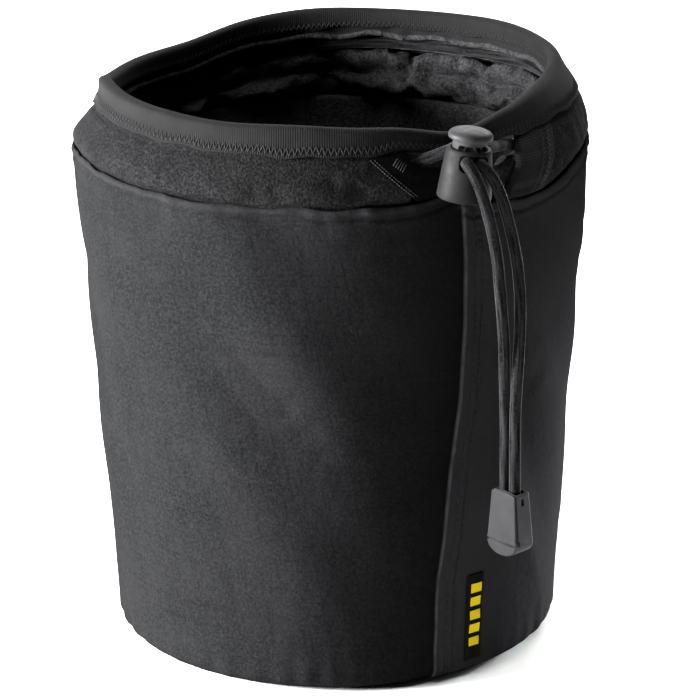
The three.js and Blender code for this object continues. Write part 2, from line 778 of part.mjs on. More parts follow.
function spring() {
  const steps = Math.round(springTurns * curlSteps);
  const points = [];
  const triangles = [];
  for (let i = 0; i <= steps; i++) {
    const middle = springPoint(i / steps);
    const outward = new THREE.Vector3(middle.x, middle.y, 0).normalize();
    for (let j = 0; j < curlSides; j++) {
      const turn = (2 * Math.PI * j) / curlSides;
      const point = middle.clone().addScaledVector(outward, (springWire / 2) * Math.cos(turn));
      point.z += (springWire / 2) * Math.sin(turn);
      points.push(point.toArray());
    }
  }
  for (let i = 0; i < steps; i++) {
    for (let j = 0; j < curlSides; j++) {
      const k = (j + 1) % curlSides;
      const here = i * curlSides;
      const next = here + curlSides;
      triangles.push([here + j, next + j, next + k], [here + j, next + k, here + k]);
    }
  }
  const last = steps * curlSides;
  for (let j = 1; j < curlSides - 1; j++) {
    triangles.push([0, j, j + 1], [last, last + j + 1, last + j]);
  }
  return fromTriangles(points, triangles);
}

function springGap() {
  const samples = 200;
  let least = Infinity;
  for (let i = 0; i < samples; i++) {
    const from = springPoint(i / samples);
    for (let j = i; j < samples; j++) {
      if (((j - i) * springTurns) / samples < 0.6) continue;
      least = Math.min(least, from.distanceTo(springPoint(j / samples)) - springWire);
    }
  }
  return least;
}
console.log(`least gap of the spring to itself: ${springGap().toFixed(2)} mm`);
part('lock_spring', spring(), springSteel, 0.35, lock);

// Strands that hang from the lock to the cord end
part('tail_strand_left', tube(strandLeftRoute, cordDiameter, cordSides, 26), cordBlack, 0.6);
part('tail_strand_right', tube(strandRightRoute, cordDiameter, cordSides, 26), cordBlack, 0.6);

// Cord end: a wedge with a rounded bottom, whose lid swings down about its lower edge
const cordEnd = new THREE.Group();
cordEnd.position.set(...endPlace);
cordEnd.rotation.z = toRadians(endTurn);
group.add(cordEnd);

function faceOutline() {
  const outline = [[-endTopWidth / 2, 0], [-endBottomWidth / 2, -endShoulder]];
  const steps = 8;
  const drop = endHeight - endShoulder;
  for (let i = 1; i < steps; i++) {
    const turn = (Math.PI * i) / steps;
    outline.push([(-endBottomWidth / 2) * Math.cos(turn), -endShoulder - drop * Math.sin(turn)]);
  }
  outline.push([endBottomWidth / 2, -endShoulder], [endTopWidth / 2, 0]);
  return outline;
}

const endSlope = (endBottomDepth - endTopDepth) / 2 / endHeight;
const halfDepth = (drop) => endTopDepth / 2 + endSlope * drop;
const sideOutline = [
  [-halfDepth(0), 0],
  [-halfDepth(endHeight - 1.5), 1.5 - endHeight],
  [1.2 - halfDepth(endHeight), -endHeight],
  [halfDepth(endHeight) - 1.2, -endHeight],
  [halfDepth(endHeight - 1.5), 1.5 - endHeight],
  [halfDepth(0), 0],
];

// Prisms along the depth and along the width
const acrossDepth = (outline, depth) => solid(prism(outline, depth).rotateX(Math.PI / 2));
const acrossWidth = (outline, width) => solid(prism(outline, width).rotateX(Math.PI / 2).rotateZ(Math.PI / 2));

const wedge = acrossDepth(faceOutline(), 3 * endBottomDepth)
  .intersect(acrossWidth(sideOutline, 3 * endBottomWidth));
const hingeDepth = hingeRadius - halfDepth(hingeHeight);

function slab(thickness, drop) {
  return acrossWidth([
    [-3 * halfDepth(0), 1],
    [-3 * halfDepth(0), -drop],
    [thickness - halfDepth(drop), -drop],
    [thickness - halfDepth(-1), 1],
  ], 3 * endBottomWidth);
}

function hingeRod(radius, width) {
  const rod = new THREE.CylinderGeometry(radius, radius, width, 16).rotateZ(Math.PI / 2);
  return solid(rod.translate(0, hingeDepth, -hingeHeight));
}

const hingeWidth = endTopWidth + (endBottomWidth - endTopWidth) * (hingeHeight / endShoulder);
const lidPlate = wedge.intersect(slab(lidThickness, hingeHeight));
const lid = lidPlate.add(hingeRod(hingeRadius, hingeWidth - 0.2));
const cavity = acrossDepth([
  [endWall - endTopWidth / 2, 1],
  [endWall - endBottomWidth / 2, -cavityDepth],
  [endBottomWidth / 2 - endWall, -cavityDepth],
  [endTopWidth / 2 - endWall, 1],
], 2 * endBottomDepth).intersect(acrossWidth([
  [-endBottomDepth, 2],
  [-endBottomDepth, -cavityDepth - 1],
  [halfDepth(cavityDepth + 1) - endWall, -cavityDepth - 1],
  [halfDepth(-2) - endWall, 2],
], 2 * endBottomWidth));
const catchSlot = solid(box(3 * endBottomWidth, catchWidth, catchHeight, 0, endCordOffset, -catchDrop));
const endBody = wedge
  .subtract(slab(lidThickness + clearance, hingeHeight))
  .subtract(slab(hingeRadius, hingeHeight + hingeRadius + clearance))
  .subtract(hingeRod(hingeRadius + clearance, 3 * endBottomWidth))
  .subtract(cavity)
  .subtract(catchSlot);
part('cord_end_body', geometryOf(endBody), endGrey, 0.5, cordEnd);
part('cord_end_lid', geometryOf(lid), endGrey, 0.5, cordEnd);

// Melted tips of the two strands, held inside the cord end
function tip(side) {
  const top = -strandSeat - clearance;
  const bottom = top - tipLength;
  const outline = [
    [0, bottom],
    [0.7 * tipBulbRadius, bottom],
    [tipBulbRadius, bottom + 1.2],
    [tipBulbRadius, bottom + tipBulbLength - 1.2],
    [cordRadius, bottom + tipBulbLength],
    [cordRadius, top],
    [0, top],
  ];
  return closed(turned(outline, 12).translate(side * tipSpacing / 2, endCordOffset, 0));
}
part('cord_tip_left', tip(-1), cordBlack, 0.6, cordEnd);
part('cord_tip_right', tip(1), cordBlack, 0.6, cordEnd);

export default group;
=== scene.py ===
"""Slip-on lens cover, dressed: fabric, tapes, stitching, shock cord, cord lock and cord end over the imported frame."""
import math
from contextlib import contextmanager

import bpy
import numpy as np
from mathutils import Matrix, Vector


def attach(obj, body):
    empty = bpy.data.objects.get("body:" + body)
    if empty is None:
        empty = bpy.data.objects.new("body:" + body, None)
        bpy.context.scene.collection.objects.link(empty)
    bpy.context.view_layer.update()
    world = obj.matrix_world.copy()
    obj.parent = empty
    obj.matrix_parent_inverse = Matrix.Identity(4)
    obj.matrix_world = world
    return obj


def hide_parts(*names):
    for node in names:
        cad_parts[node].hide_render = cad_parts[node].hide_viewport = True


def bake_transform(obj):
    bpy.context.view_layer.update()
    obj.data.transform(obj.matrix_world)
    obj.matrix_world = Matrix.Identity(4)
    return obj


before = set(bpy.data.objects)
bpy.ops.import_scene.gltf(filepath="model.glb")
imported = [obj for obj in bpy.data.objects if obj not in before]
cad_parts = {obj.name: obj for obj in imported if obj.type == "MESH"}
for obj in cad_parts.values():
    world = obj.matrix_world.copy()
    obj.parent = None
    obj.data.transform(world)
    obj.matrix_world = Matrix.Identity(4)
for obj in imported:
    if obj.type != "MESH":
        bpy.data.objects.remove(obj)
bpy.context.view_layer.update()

# Sizes in millimetres, the same as in the CAD model
BASE_RADIUS = 72.4
BODY_BOTTOM_RADIUS = 78.5
CORNER_HEIGHT = 6.0
HEM_RADIUS = 90.0
HEM_HEIGHT = 179.0
RIM_HEIGHT = 204.3
BINDING_DEPTH, BINDING_BEND = 9.4, 202.4
COLLAR_TOP_RADIUS = 79.5
SLOUCH_START = 0.84 * HEM_HEIGHT
SEAM_BASE = 0.5
GAP_LEFT, GAP_RIGHT, GAP_SLANT = -10.0, 15.4, 0.5
ROLL_TOP, ROLL_FOOT = 187.9, 169.4
FACING_LOW = 193.2
FLAP_TOP = 189.5
CORD_RADIUS = 2.0
CHANNEL = (80.4, 190.3)
LOCK_PLACE = (-2.0, -101.3, 196.9)

# How deep the layers of the wall lie under the shell's outside
SHELL_BACK, FOAM_FRONT, FOAM_BACK, LINING_FRONT, LINING_BACK = 1.3, 1.35, 4.25, 4.65, 6.15

# Stitching: the seam's rows from the lap's edge, its pitch and the ripple that goes with it, the tapes' pitch
SEAM_ROWS = (4.6, 7.4)
SEAM_PITCH, SEAM_RIPPLE = 2.805, 2.24
TAPE_PITCH = 0.62

# Routes of the cord, counted from the lock's place
LINK_LEFT = [
    (-12.7, 22.1, -6.6), (-10.3, 21.5, -6.3), (-7.8, 19.8, -5.1), (-5.4, 16.6, -3.5),
    (-2.7, 13.7, -1.7), (-0.5, 11.2, -0.2), (-0.1, 8.9, 0.3), (-1.3, 4.0, 0.3), (-3.1, -3.2, 0.3),
]
LINK_RIGHT = [
    (33.5, 27.3, -7.5), (30.2, 25.8, -6.7), (26.6, 23.3, -5.6), (23.5, 20.6, -4.8), (19.8, 17.7, -3.8),
    (16.4, 14.5, -2.7), (12.5, 11.3, -1.7), (8.5, 9.1, -0.9), (5.4, 7.9, -0.4), (3.9, 5.9, -0.3), (1.3, -4.4, -0.3),
]
STRAND_LEFT = [
    (-3.3, -4.0, 0.3), (-4.2, -7.2, -0.1), (-3.9, -9.8, -1.9), (-2.8, -11.2, -5.1),
    (-0.8, -11.8, -11.3), (2.1, -11.9, -21.8), (4.1, -11.9, -31.8), (5.6, -11.5, -44.3),
    (6.9, -10.7, -53.9), (8.3, -9.6, -65.9), (9.2, -8.3, -75.9), (10.3, -6.9, -86.9),
    (10.6, -6.6, -96.9), (10.6, -6.6, -106.9), (10.6, -6.6, -117.2),
]
STRAND_RIGHT = [
    (1.1, -5.2, -0.3), (0.4, -8.2, -0.7), (1.3, -10.6, -2.2), (2.8, -12.3, -5.2), (5.0, -12.9, -10.5),
    (8.6, -12.6, -21.9), (11.5, -12.3, -34.9), (12.8, -12.0, -46.9), (13.0, -11.8, -56.9),
    (12.5, -11.6, -69.3), (11.8, -11.2, -84.6), (11.7, -11.0, -96.9), (11.8, -10.85, -106.9),
    (11.8, -10.8, -117.2),
]


# Camera at the photograph's viewing angle
def place_camera():
    bpy.ops.object.camera_add(location=(-0.6377, -1.2250, 0.58895))
    camera = bpy.context.object
    camera.name = "photo_camera"
    azimuth, drop, roll = (math.radians(a) for a in (-27.5, 19.56, -0.71))
    turn = Matrix.Rotation(azimuth, 4, "Z") @ Matrix.Rotation(math.pi / 2 - drop, 4, "X")
    camera.rotation_euler = (turn @ Matrix.Rotation(roll, 4, "Z")).to_euler()
    camera.data.sensor_width = 36.0
    camera.data.lens = 211.38
    camera.data.shift_x = 0.02384
    camera.data.shift_y = 0.00046
    camera.data.clip_start, camera.data.clip_end = 0.05, 20.0
    bpy.context.scene.camera = camera


# Shape of the pouch: angles in degrees from the lock's side, all as arrays
def wrapped(angle):
    return (np.asarray(angle) + 180.0) % 360.0 - 180.0


def column(first, last, count):
    return np.linspace(first, last, count)[:, None]


def stacked(*values):
    return np.stack(np.broadcast_arrays(*values), axis=-1)


def hump(value, middle, width):
    return np.exp(-(((value - middle) / width) ** 2))


def bell(angle, middle, width):
    return hump(wrapped(angle - middle), 0.0, width)


def ease(value, low, high):
    share = np.clip((value - low) / (high - low), 0.0, 1.0)
    return share * share * (3.0 - 2.0 * share)


def rim_lift(angle):
    sag = 7.2 * np.exp(-((wrapped(angle + 146.5) / 30.0) ** 4)) + 2.5 * bell(angle, 178.0, 25.0)
    return 2.1 * bell(angle, 88.0, 20.0) - 1.1 * bell(angle, 26.0, 9.0) - sag


def rim_pull(angle, height):
    share = (height - HEM_HEIGHT) / (RIM_HEIGHT - HEM_HEIGHT)
    full = 3.5 * bell(angle, 59.0, 20.0) * ease(share, 0.2, 0.53)
    return full - 5.6 * bell(angle, 52.0, 20.0) * ease(share, 0.73, 1.04)


def ring_point(angle, radius, height):
    """Points in metres of a ring whose rim slouches as the photographed one does."""
    share = ease(height, SLOUCH_START, RIM_HEIGHT - BINDING_DEPTH)
    reach = radius + rim_pull(angle, height)
    dip = 5.8 * bell(angle, 5.0, 13.0) * ease(height, RIM_HEIGHT - 12.0, RIM_HEIGHT)
    level = height + share * rim_lift(angle) - dip
    turn = np.radians(angle)
    return stacked(reach * np.sin(turn), -reach * np.cos(turn), level) * 0.001


def gap_right(height):
    return GAP_RIGHT + GAP_SLANT * (height - HEM_HEIGHT)


def waves(angle, height, seed, length, slant=(0.0, 180.0), count=14):
    """A sum of soft waves of about that length, which meets itself round the ring."""
    draw = np.random.default_rng(seed)
    total = np.zeros(np.broadcast(angle, height).shape)
    for _ in range(count):
        size = length * draw.uniform(0.7, 1.6)
        way = math.radians(draw.uniform(*slant))
        laps = round(2 * math.pi * HEM_RADIUS / size * math.cos(way))
        rise = 2 * math.pi / size * math.sin(way)
        total = total + np.sin(np.radians(angle) * laps + height * rise + draw.uniform(0, 2 * math.pi))
    return total / math.sqrt(count)


def ring_waves(angle, seed, length):
    return waves(angle, 0.0, seed, length, (0.0, 1.0))


def shell_outer(height):
    slope = (HEM_RADIUS - BODY_BOTTOM_RADIUS) / (HEM_HEIGHT - CORNER_HEIGHT)
    return BODY_BOTTOM_RADIUS + slope * (height - CORNER_HEIGHT)


def hem_at(angle):
    left = HEM_HEIGHT + 3.2 * bell(angle, SEAM_BASE, 8.0)
    right = HEM_HEIGHT - 5.2 * bell(angle, 20.0, 18.0)
    return np.where(wrapped(angle) <= SEAM_BASE, left, right)


def band_outer(height):
    share = (height - HEM_HEIGHT) / (RIM_HEIGHT - HEM_HEIGHT)
    return COLLAR_TOP_RADIUS + (HEM_RADIUS - 0.4 - COLLAR_TOP_RADIUS) * (1.0 - ease(share, 0.12, 0.85))


def seam_shift(angle, height):
    """How far the lap seam wanders from its straight line at that height, in degrees."""
    heights = [0, 4, 16, 39, 47, 54, 80, 106, 135, 157, 176, 190]
    places = [-2.3, -2.3, -2.4, -2.3, -1.4, -0.7, 0.5, 2.5, 3.1, 2.5, 1.3, 0.9]
    wander = np.interp(height, heights, places) - SEAM_BASE
    return wander * np.exp(-((angle - SEAM_BASE) / 26.0) ** 2)


# Mesh helpers
def select_only(piece):
    if bpy.context.object and bpy.context.object.mode != "OBJECT":
        bpy.ops.object.mode_set(mode="OBJECT")
    bpy.ops.object.select_all(action="DESELECT")
    piece.select_set(True)
    bpy.context.view_layer.objects.active = piece


@contextmanager
def editing(piece):
    """Edit mode with all of the piece selected."""
    select_only(piece)
    bpy.ops.object.mode_set(mode="EDIT")
    bpy.ops.mesh.select_all(action="SELECT")
    yield
    bpy.ops.object.mode_set(mode="OBJECT")


def added(name, operator, **settings):
    """What the operator adds, under that name."""
    bpy.ops.object.select_all(action="DESELECT")
    operator(**settings)
    piece = bpy.context.object
    piece.name = name
    return piece


def disc(name, radius, vertices, **settings):
    circle = bpy.ops.mesh.primitive_circle_add
    return added(name, circle, radius=radius, vertices=vertices, fill_type="NGON", **settings)


def raise_rim(rise, grow):
    """Extrudes the selection upwards and grows it about the Z axis."""
    bpy.ops.mesh.extrude_region_move(TRANSFORM_OT_translate={"value": (0.0, 0.0, rise)})
    bpy.ops.transform.resize(value=(grow, grow, 1.0), center_override=(0.0, 0.0, 0.0))


def finish_piece(piece, finish, replaced=(), angle=None, body="pouch"):
    """Smooth shading, material, slot and body of a finished piece."""
    material, slot = finish
    select_only(piece)
    if angle is None:
        bpy.ops.object.shade_smooth()
    else:
        bpy.ops.object.shade_smooth_by_angle(angle=math.radians(angle))
    piece.data.materials.clear()
    piece.data.materials.append(material)
    if body:
        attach(piece, body)
    if replaced:
        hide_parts(*replaced)
    return piece


def tidy_faces(piece, join=1e-6, fill=False):
    """Merges doubles, closes the ends if asked, and turns the faces outwards."""
    with editing(piece):
        bpy.ops.mesh.remove_doubles(threshold=join)
        if fill:
            bpy.ops.mesh.select_all(action="SELECT")
            bpy.ops.mesh.fill_holes(sides=0)
        bpy.ops.mesh.select_all(action="SELECT")
        bpy.ops.mesh.normals_make_consistent(inside=False)
        bpy.ops.mesh.select_all(action="DESELECT")


def points_of(piece):
    at = np.empty(len(piece.data.vertices) * 3)
    piece.data.vertices.foreach_get("co", at)
    return at.reshape(-1, 3)


def wrapped_grid(name, points, uv, fill=False):
    """A grid whose points are moved to those places, in metres. Its edges close where they meet."""
    rows, columns = points.shape[:2]
    grid = bpy.ops.mesh.primitive_grid_add
    piece = added(name, grid, x_subdivisions=columns - 1, y_subdivisions=rows - 1, size=2.0)
    mesh = piece.data
    mesh.name = name
    mesh.vertices.foreach_set("co", np.ascontiguousarray(points, dtype=np.float32).ravel())
    corner = np.empty(len(mesh.loops), dtype=np.int64)
    mesh.loops.foreach_get("vertex_index", corner)
    flat = np.ascontiguousarray(uv, dtype=np.float32).reshape(-1, 2)[corner]
    mesh.uv_layers[0].data.foreach_set("uv", flat.ravel())
    mesh.update()
    tidy_faces(piece, fill=fill)
    return piece


def running_sum(steps):
    return np.concatenate([[0.0], np.cumsum(steps)])


def distances(line):
    """How far along the line each of its points lies."""
    return running_sum(np.linalg.norm(np.diff(line, axis=0), axis=1))


def closed(rows):
    return np.vstack([rows, rows[:1]])


def section(rows, angles):
    """The closed tables of radii and heights of a section's rows, each a radius and a height."""
    return [closed(np.array([row[k] + 0.0 * angles for row in rows])) for k in (0, 1)]


def cloth_ring(name, angles, radius, height, twist=0.0, fill=False, uv=None):
    """A ring of cloth from tables of radii and heights, a column for each angle and a row for each step round."""
    points = ring_point(angles[None, :] + twist, radius, height)
    if uv is None:
        along = running_sum(np.hypot(np.diff(radius, axis=0), np.diff(height, axis=0)).mean(axis=1))
        uv = stacked(np.radians(angles)[None, :] * HEM_RADIUS, along[:, None]) * 0.01
    return wrapped_grid(name, points, uv, fill)


def smooth_route(route, step=0.45):
    """Points a step apart on a centripetal Catmull-Rom curve through the route, in millimetres."""
    def between_knots(a, b, low, high):
        return ((high - t) * a + (t - low) * b) / (high - low)

    p = np.array(route, dtype=float) + np.array(LOCK_PLACE)
    p = np.vstack([2 * p[0] - p[1], p, 2 * p[-1] - p[-2]])
    out = []
    for i in range(1, len(p) - 2):
        q = p[i - 1:i + 3]
        knots = running_sum(np.linalg.norm(np.diff(q, axis=0), axis=1) ** 0.5)
        t = np.linspace(knots[1], knots[2], 24, endpoint=False)[:, None]
        a = [between_knots(q[j], q[j + 1], knots[j], knots[j + 1]) for j in range(3)]
        b = [between_knots(a[j], a[j + 1], knots[j], knots[j + 2]) for j in range(2)]
        out.append(between_knots(*b, knots[1], knots[2]))
    fine = np.vstack([*out, p[-2][None, :]])
    reach = distances(fine)
    even = np.linspace(0.0, reach[-1], max(2, round(reach[-1] / step)) + 1)
    return stacked(*(np.interp(even, reach, fine[:, k]) for k in range(3)))


def tube_along(name, line, radius, sides, braid=0.0):
    """A closed tube round a line, with a UV map in units of 10 mm along it. Braid raises a fine plait."""
    way = np.gradient(line, axis=0)
    way /= np.linalg.norm(way, axis=1)[:, None]
    side = np.cross(way[0], (0.0, 1.0, 0.0))
    if np.linalg.norm(side) < 0.1:
        side = np.cross(way[0], (1.0, 0.0, 0.0))
    across = []
    for w in way:
        side = side - w * side.dot(w)
        side = side / np.linalg.norm(side)
        across.append(side)
    across = np.array(across)
    up = np.cross(way, across)
    reach = distances(line)[:, None]
    turn = np.linspace(0.0, 2 * math.pi, sides + 1)
    size = np.full((len(line), sides + 1), radius)
    if braid:
        plait = np.cos(4 * turn + reach * 3.2) * np.cos(4 * turn - reach * 3.2)
        size = size * (1.0 + braid * (plait - 0.5))
    size[[0, -1]] *= 0.65
    out = (size * np.cos(turn))[:, :, None] * across[:, None, :] + (size * np.sin(turn))[:, :, None] * up[:, None, :]
    uv = stacked(turn / (2 * math.pi), reach * 0.1)
    return wrapped_grid(name, (line[:, None, :] + out) * 0.001, uv, fill=True)


def stitches(name, starts, ends, radius, finish, replaced=()):
    """One mesh of short threads, each a five-sided spindle whose ends dive into the cloth."""
    sides = 5
    starts, ends = np.vstack(starts), np.vstack(ends)
    way = ends - starts
    way = way / np.linalg.norm(way, axis=1)[:, None]
    side = np.cross(way, (0.0, 0.0, 1.0))
    weak = np.linalg.norm(side, axis=1) < 0.3
    side[weak] = np.cross(way[weak], (1.0, 0.0, 0.0))
    side = side / np.linalg.norm(side, axis=1)[:, None]
    up = np.cross(way, side)
    turn = np.arange(sides)[None, :, None] * 2 * math.pi / sides
    around = np.cos(turn) * side[:, None, :] + np.sin(turn) * up[:, None, :]
    rings = [(0.0, 0.45), (0.18, 0.95), (0.5, 1.1), (0.82, 0.95), (1.0, 0.45)]
    points = [
        (starts + (ends - starts) * share)[:, None, :] + radius * fullness * around for share, fullness in rings
    ]
    points = np.stack(points, axis=1).reshape(-1, 3)
    faces = []
    for first in range(0, len(points), sides * len(rings)):
        for a in range(first, first + sides * (len(rings) - 1), sides):
            for j in range(sides):
                n = (j + 1) % sides
                faces.append((a + j, a + n, a + sides + n, a + sides + j))
        faces.append(tuple(first + j for j in reversed(range(sides))))
        faces.append(tuple(first + sides * (len(rings) - 1) + j for j in range(sides)))
    mesh = bpy.data.meshes.new(name)
    mesh.from_pydata((points * 0.001).tolist(), [], faces)
    piece = bpy.data.objects.new(name, mesh)
    bpy.context.collection.objects.link(piece)
    tidy_faces(piece, join=1e-9)
    return finish_piece(piece, finish, replaced)


# Materials
class Shader:
    """A Principled material and a few words for the nodes that feed it."""

    def __init__(self, name, color, roughness, **sockets):
        self.material = bpy.data.materials.new(name)
        self.material.use_nodes = True
        self.tree = self.material.node_tree
        self.bsdf = self.tree.nodes["Principled BSDF"]
        self.bsdf.inputs["Base Color"].default_value = (*color, 1.0)
        self.bsdf.inputs["Roughness"].default_value = roughness
        for socket, value in sockets.items():
            self.bsdf.inputs[socket.replace("_", " ")].default_value = value

    def node(self, kind, settings=None, **inputs):
        made = self.tree.nodes.new("ShaderNode" + kind)
        for key, value in (settings or {}).items():
            setattr(made, key, value)
        for key, value in inputs.items():
            socket = made.inputs[int(key[1:])] if key[0] == "i" and key[1:].isdigit() else made.inputs[key]
            if isinstance(value, bpy.types.NodeSocket):
                self.tree.links.new(value, socket)
            else:
                socket.default_value = value
        return made

    def place(self, kind="Object"):
        return self.node("TexCoord").outputs[kind]

    def stored(self, name):
        """A number stored on the piece's points, 0 where the piece has none of that name."""
        return self.node("Attribute", {"attribute_name": name}).outputs["Fac"]

    def scaled(self, vector, scale):
        return self.node("Mapping", i0=vector, i3=scale).outputs[0]

    def noise(self, vector, scale, detail=3.0, rough=0.55):
        made = self.node("TexNoise", Vector=vector, Scale=scale, Detail=detail, Roughness=rough)
        return made.outputs[0]

    def math(self, operation, a, b=0.0, clamp=False):
        made = self.node("Math", {"operation": operation, "use_clamp": clamp}, i0=a, i1=b)
        return made.outputs[0]

    def times(self, a, b):
        return self.math("MULTIPLY", a, b)

    def ramp(self, value, low, high, out_low=0.0, out_high=1.0):
        made = self.node("MapRange", i0=value, i1=low, i2=high, i3=out_low, i4=out_high)
        return made.outputs[0]

    def mix(self, share, a, b):
        made = self.node("Mix", {"data_type": "RGBA"}, i0=share)
        for index, value in ((6, a), (7, b)):
            if isinstance(value, bpy.types.NodeSocket):
                self.tree.links.new(value, made.inputs[index])
            else:
                made.inputs[index].default_value = (*value, 1.0)
        return made.outputs[2]

    def ridge(self, coordinate, pitch, width):
        """1 on a thin line that repeats every pitch along the coordinate, 0 between the lines."""
        share = self.math("FRACT", self.math("DIVIDE", coordinate, pitch))
        off = self.math("ABSOLUTE", self.math("SUBTRACT", share, 0.5))
        return self.ramp(off, 0.5 - width, 0.5, 0.0, 1.0)

    def wave(self, coordinate, pitch):
        turned = self.math("MULTIPLY", coordinate, 2 * math.pi / pitch)
        return self.math("MULTIPLY_ADD", self.math("SINE", turned), 0.5)

    def axes(self, vector):
        return self.node("SeparateXYZ", i0=vector).outputs

    def color(self, value):
        self.tree.links.new(value, self.bsdf.inputs["Base Color"])

    def roughness(self, value):
        self.tree.links.new(value, self.bsdf.inputs["Roughness"])

    def bump(self, *layers):
        normal = None
        for height, distance, strength in layers:
            made = self.node("Bump", Strength=strength, Distance=distance, Height=height)
            if normal is not None:
                self.tree.links.new(normal, made.inputs["Normal"])
            normal = made.outputs[0]
        self.tree.links.new(normal, self.bsdf.inputs["Normal"])


def ripstop():
    s = Shader("ripstop_nylon", (0.012, 0.0122, 0.013), 0.6, Specular_IOR_Level=0.0)
    chart, spot = s.place("UV"), s.place()
    u, v, _ = s.axes(chart)
    grid = s.math("MAXIMUM", s.ridge(u, 0.07, 0.045), s.ridge(v, 0.07, 0.045))
    warp, weft = (s.noise(s.scaled(chart, scale), 1.0) for scale in ((70.0, 1.6, 1.0), (1.6, 70.0, 1.0)))
    slubs = s.math("MAXIMUM", warp, weft)
    broad = s.noise(spot, 30.0, 4.0)
    fine = s.noise(spot, 1100.0, 2.0)
    cloth = s.mix(s.ramp(broad, 0.35, 0.7), (0.0056, 0.0057, 0.006), (0.0084, 0.0085, 0.009))
    cloth = s.mix(s.ramp(slubs, 0.55, 0.72, 0.0, 0.5), cloth, (0.0032, 0.0032, 0.0034))
    cloth = s.mix(s.ramp(fine, 0.4, 0.7, 0.0, 0.6), cloth, (0.0155, 0.0157, 0.0165))
    cloth = s.mix(s.times(grid, 0.16), cloth, (0.0028, 0.0028, 0.003))
    arc = s.stored("from_seam")
    # Painted shade: the nylon darkens towards the lap's edge over the 55 mm before it.
    before = s.times(s.ramp(arc, 945.0, 999.0), s.math("LESS_THAN", arc, 1000.0))
    cloth = s.mix(s.times(before, 0.72), cloth, (0.001, 0.001, 0.0011))
    # Painted light: the nylon is lighter over the 60 mm after the lap's edge, fading out by 110 mm.
    seam_right_painted_light = s.times(s.math("GREATER_THAN", arc, 1000.0), s.ramp(arc, 1110.0, 1060.0))
    cloth = s.mix(s.times(seam_right_painted_light, 0.4), cloth, (0.0155, 0.0157, 0.0165))
    # Painted highlight: a thin light line along the lap's folded edge, broken up by noise.
    fold = s.ramp(s.math("ABSOLUTE", s.math("SUBTRACT", arc, 1000.45)), 0.5, 0.2)
    fold_highlight = s.times(fold, s.ramp(s.noise(spot, 220.0, 3.0), 0.35, 0.65, 0.25, 0.75))
    cloth = s.mix(fold_highlight, cloth, (0.04, 0.04, 0.0425))
    # Painted highlight: a light band along the hem's fold, just under the hem.
    hem_highlight = s.ramp(s.math("ABSOLUTE", s.math("SUBTRACT", s.stored("from_hem"), 1001.2)), 1.3, 0.2)
    s.color(s.mix(s.times(hem_highlight, 0.35), cloth, (0.018, 0.0182, 0.019)))
    s.bump(
        (s.noise(spot, 70.0, 4.0), 0.0016, 0.35),
        (s.noise(s.scaled(spot, (1.0, 1.0, 0.6)), 260.0, 3.0), 0.0006, 0.3),
        (fine, 0.00025, 0.35),
        (grid, 0.0001, 0.25),
    )
    return s.material


def fleece(name, low, high, grain, depth):
    s = Shader(name, low, 0.95, Specular_IOR_Level=0.03)
    spot = s.place()
    tufts = s.noise(spot, grain, 3.0, 0.5)
    patches = s.noise(spot, grain / 9.0, 3.0)
    cloth = s.mix(s.ramp(tufts, 0.38, 0.68), low, high)
    shade = tuple(0.6 * c for c in low)
    s.color(s.mix(s.ramp(patches, 0.3, 0.75, 0.45, 0.0), cloth, shade))
    s.bump((patches, 0.0012, 0.4), (tufts, depth, 0.8))
    return s.material


def grosgrain(name, low, high, along, pitch):
    s = Shader(name, low, 0.85, Specular_IOR_Level=0.08)
    u, v, _ = s.axes(s.place("UV"))
    rib = s.wave(u if along == "u" else v, pitch)
    spot = s.place()
    cloth = s.mix(s.ramp(rib, 0.15, 0.9), low, high)
    s.color(s.mix(s.ramp(s.noise(spot, 120.0, 3.0), 0.35, 0.7, 0.0, 0.5), cloth, tuple(0.55 * c for c in low)))
    s.bump((s.noise(spot, 90.0, 3.0), 0.0008, 0.4), (rib, 0.00014, 0.7))
    return s.material


def shock_cord():
    sheen = {"Sheen_Weight": 0.3, "Sheen_Roughness": 0.25}
    s = Shader("shock_cord", (0.005, 0.005, 0.0053), 0.7, Specular_IOR_Level=0.0, **sheen)
    chart = s.place("UV")
    lines = s.noise(s.scaled(chart, (13.0, 0.6, 1.0)), 1.0, 3.0)
    weft = s.wave(s.axes(chart)[1], 0.085)
    hairs = s.noise(s.place(), 1500.0, 2.0)
    cloth = s.mix(s.ramp(lines, 0.4, 0.62), (0.002, 0.002, 0.0021), (0.0135, 0.0135, 0.0143))
    s.color(s.mix(s.ramp(hairs, 0.5, 0.75, 0.0, 0.5), cloth, (0.026, 0.026, 0.0272)))
    s.bump((lines, 0.0003, 0.7), (weft, 0.00006, 0.5), (hairs, 0.0001, 0.4))
    return s.material


def plastic(name, low, high, roughness, gloss):
    s = Shader(name, low, roughness, Specular_IOR_Level=gloss)
    spot = s.place()
    cloud = s.noise(spot, 160.0, 4.0)
    s.color(s.mix(s.ramp(cloud, 0.3, 0.7), low, high))
    s.roughness(s.ramp(s.noise(spot, 420.0, 3.0), 0.3, 0.7, roughness - 0.06, roughness + 0.1))
    s.bump((s.noise(spot, 1500.0, 2.0), 0.00006, 0.35), (cloud, 0.0002, 0.2))
    return s.material


def thread(name, color):
    s = Shader(name, color, 0.7, Specular_IOR_Level=0.1)
    spot = s.place()
    s.color(s.mix(s.noise(spot, 1800.0, 2.0), tuple(0.5 * c for c in color), tuple(1.5 * c for c in color)))
    return s.material


def simple(name, low, high, roughness, grain, metallic=0.0):
    s = Shader(name, low, roughness, Metallic=metallic)
    spot = s.place()
    cloud = s.noise(spot, grain, 4.0)
    s.color(s.mix(cloud, low, high))
    s.bump((cloud, 0.0003, 0.4))
    return s.material


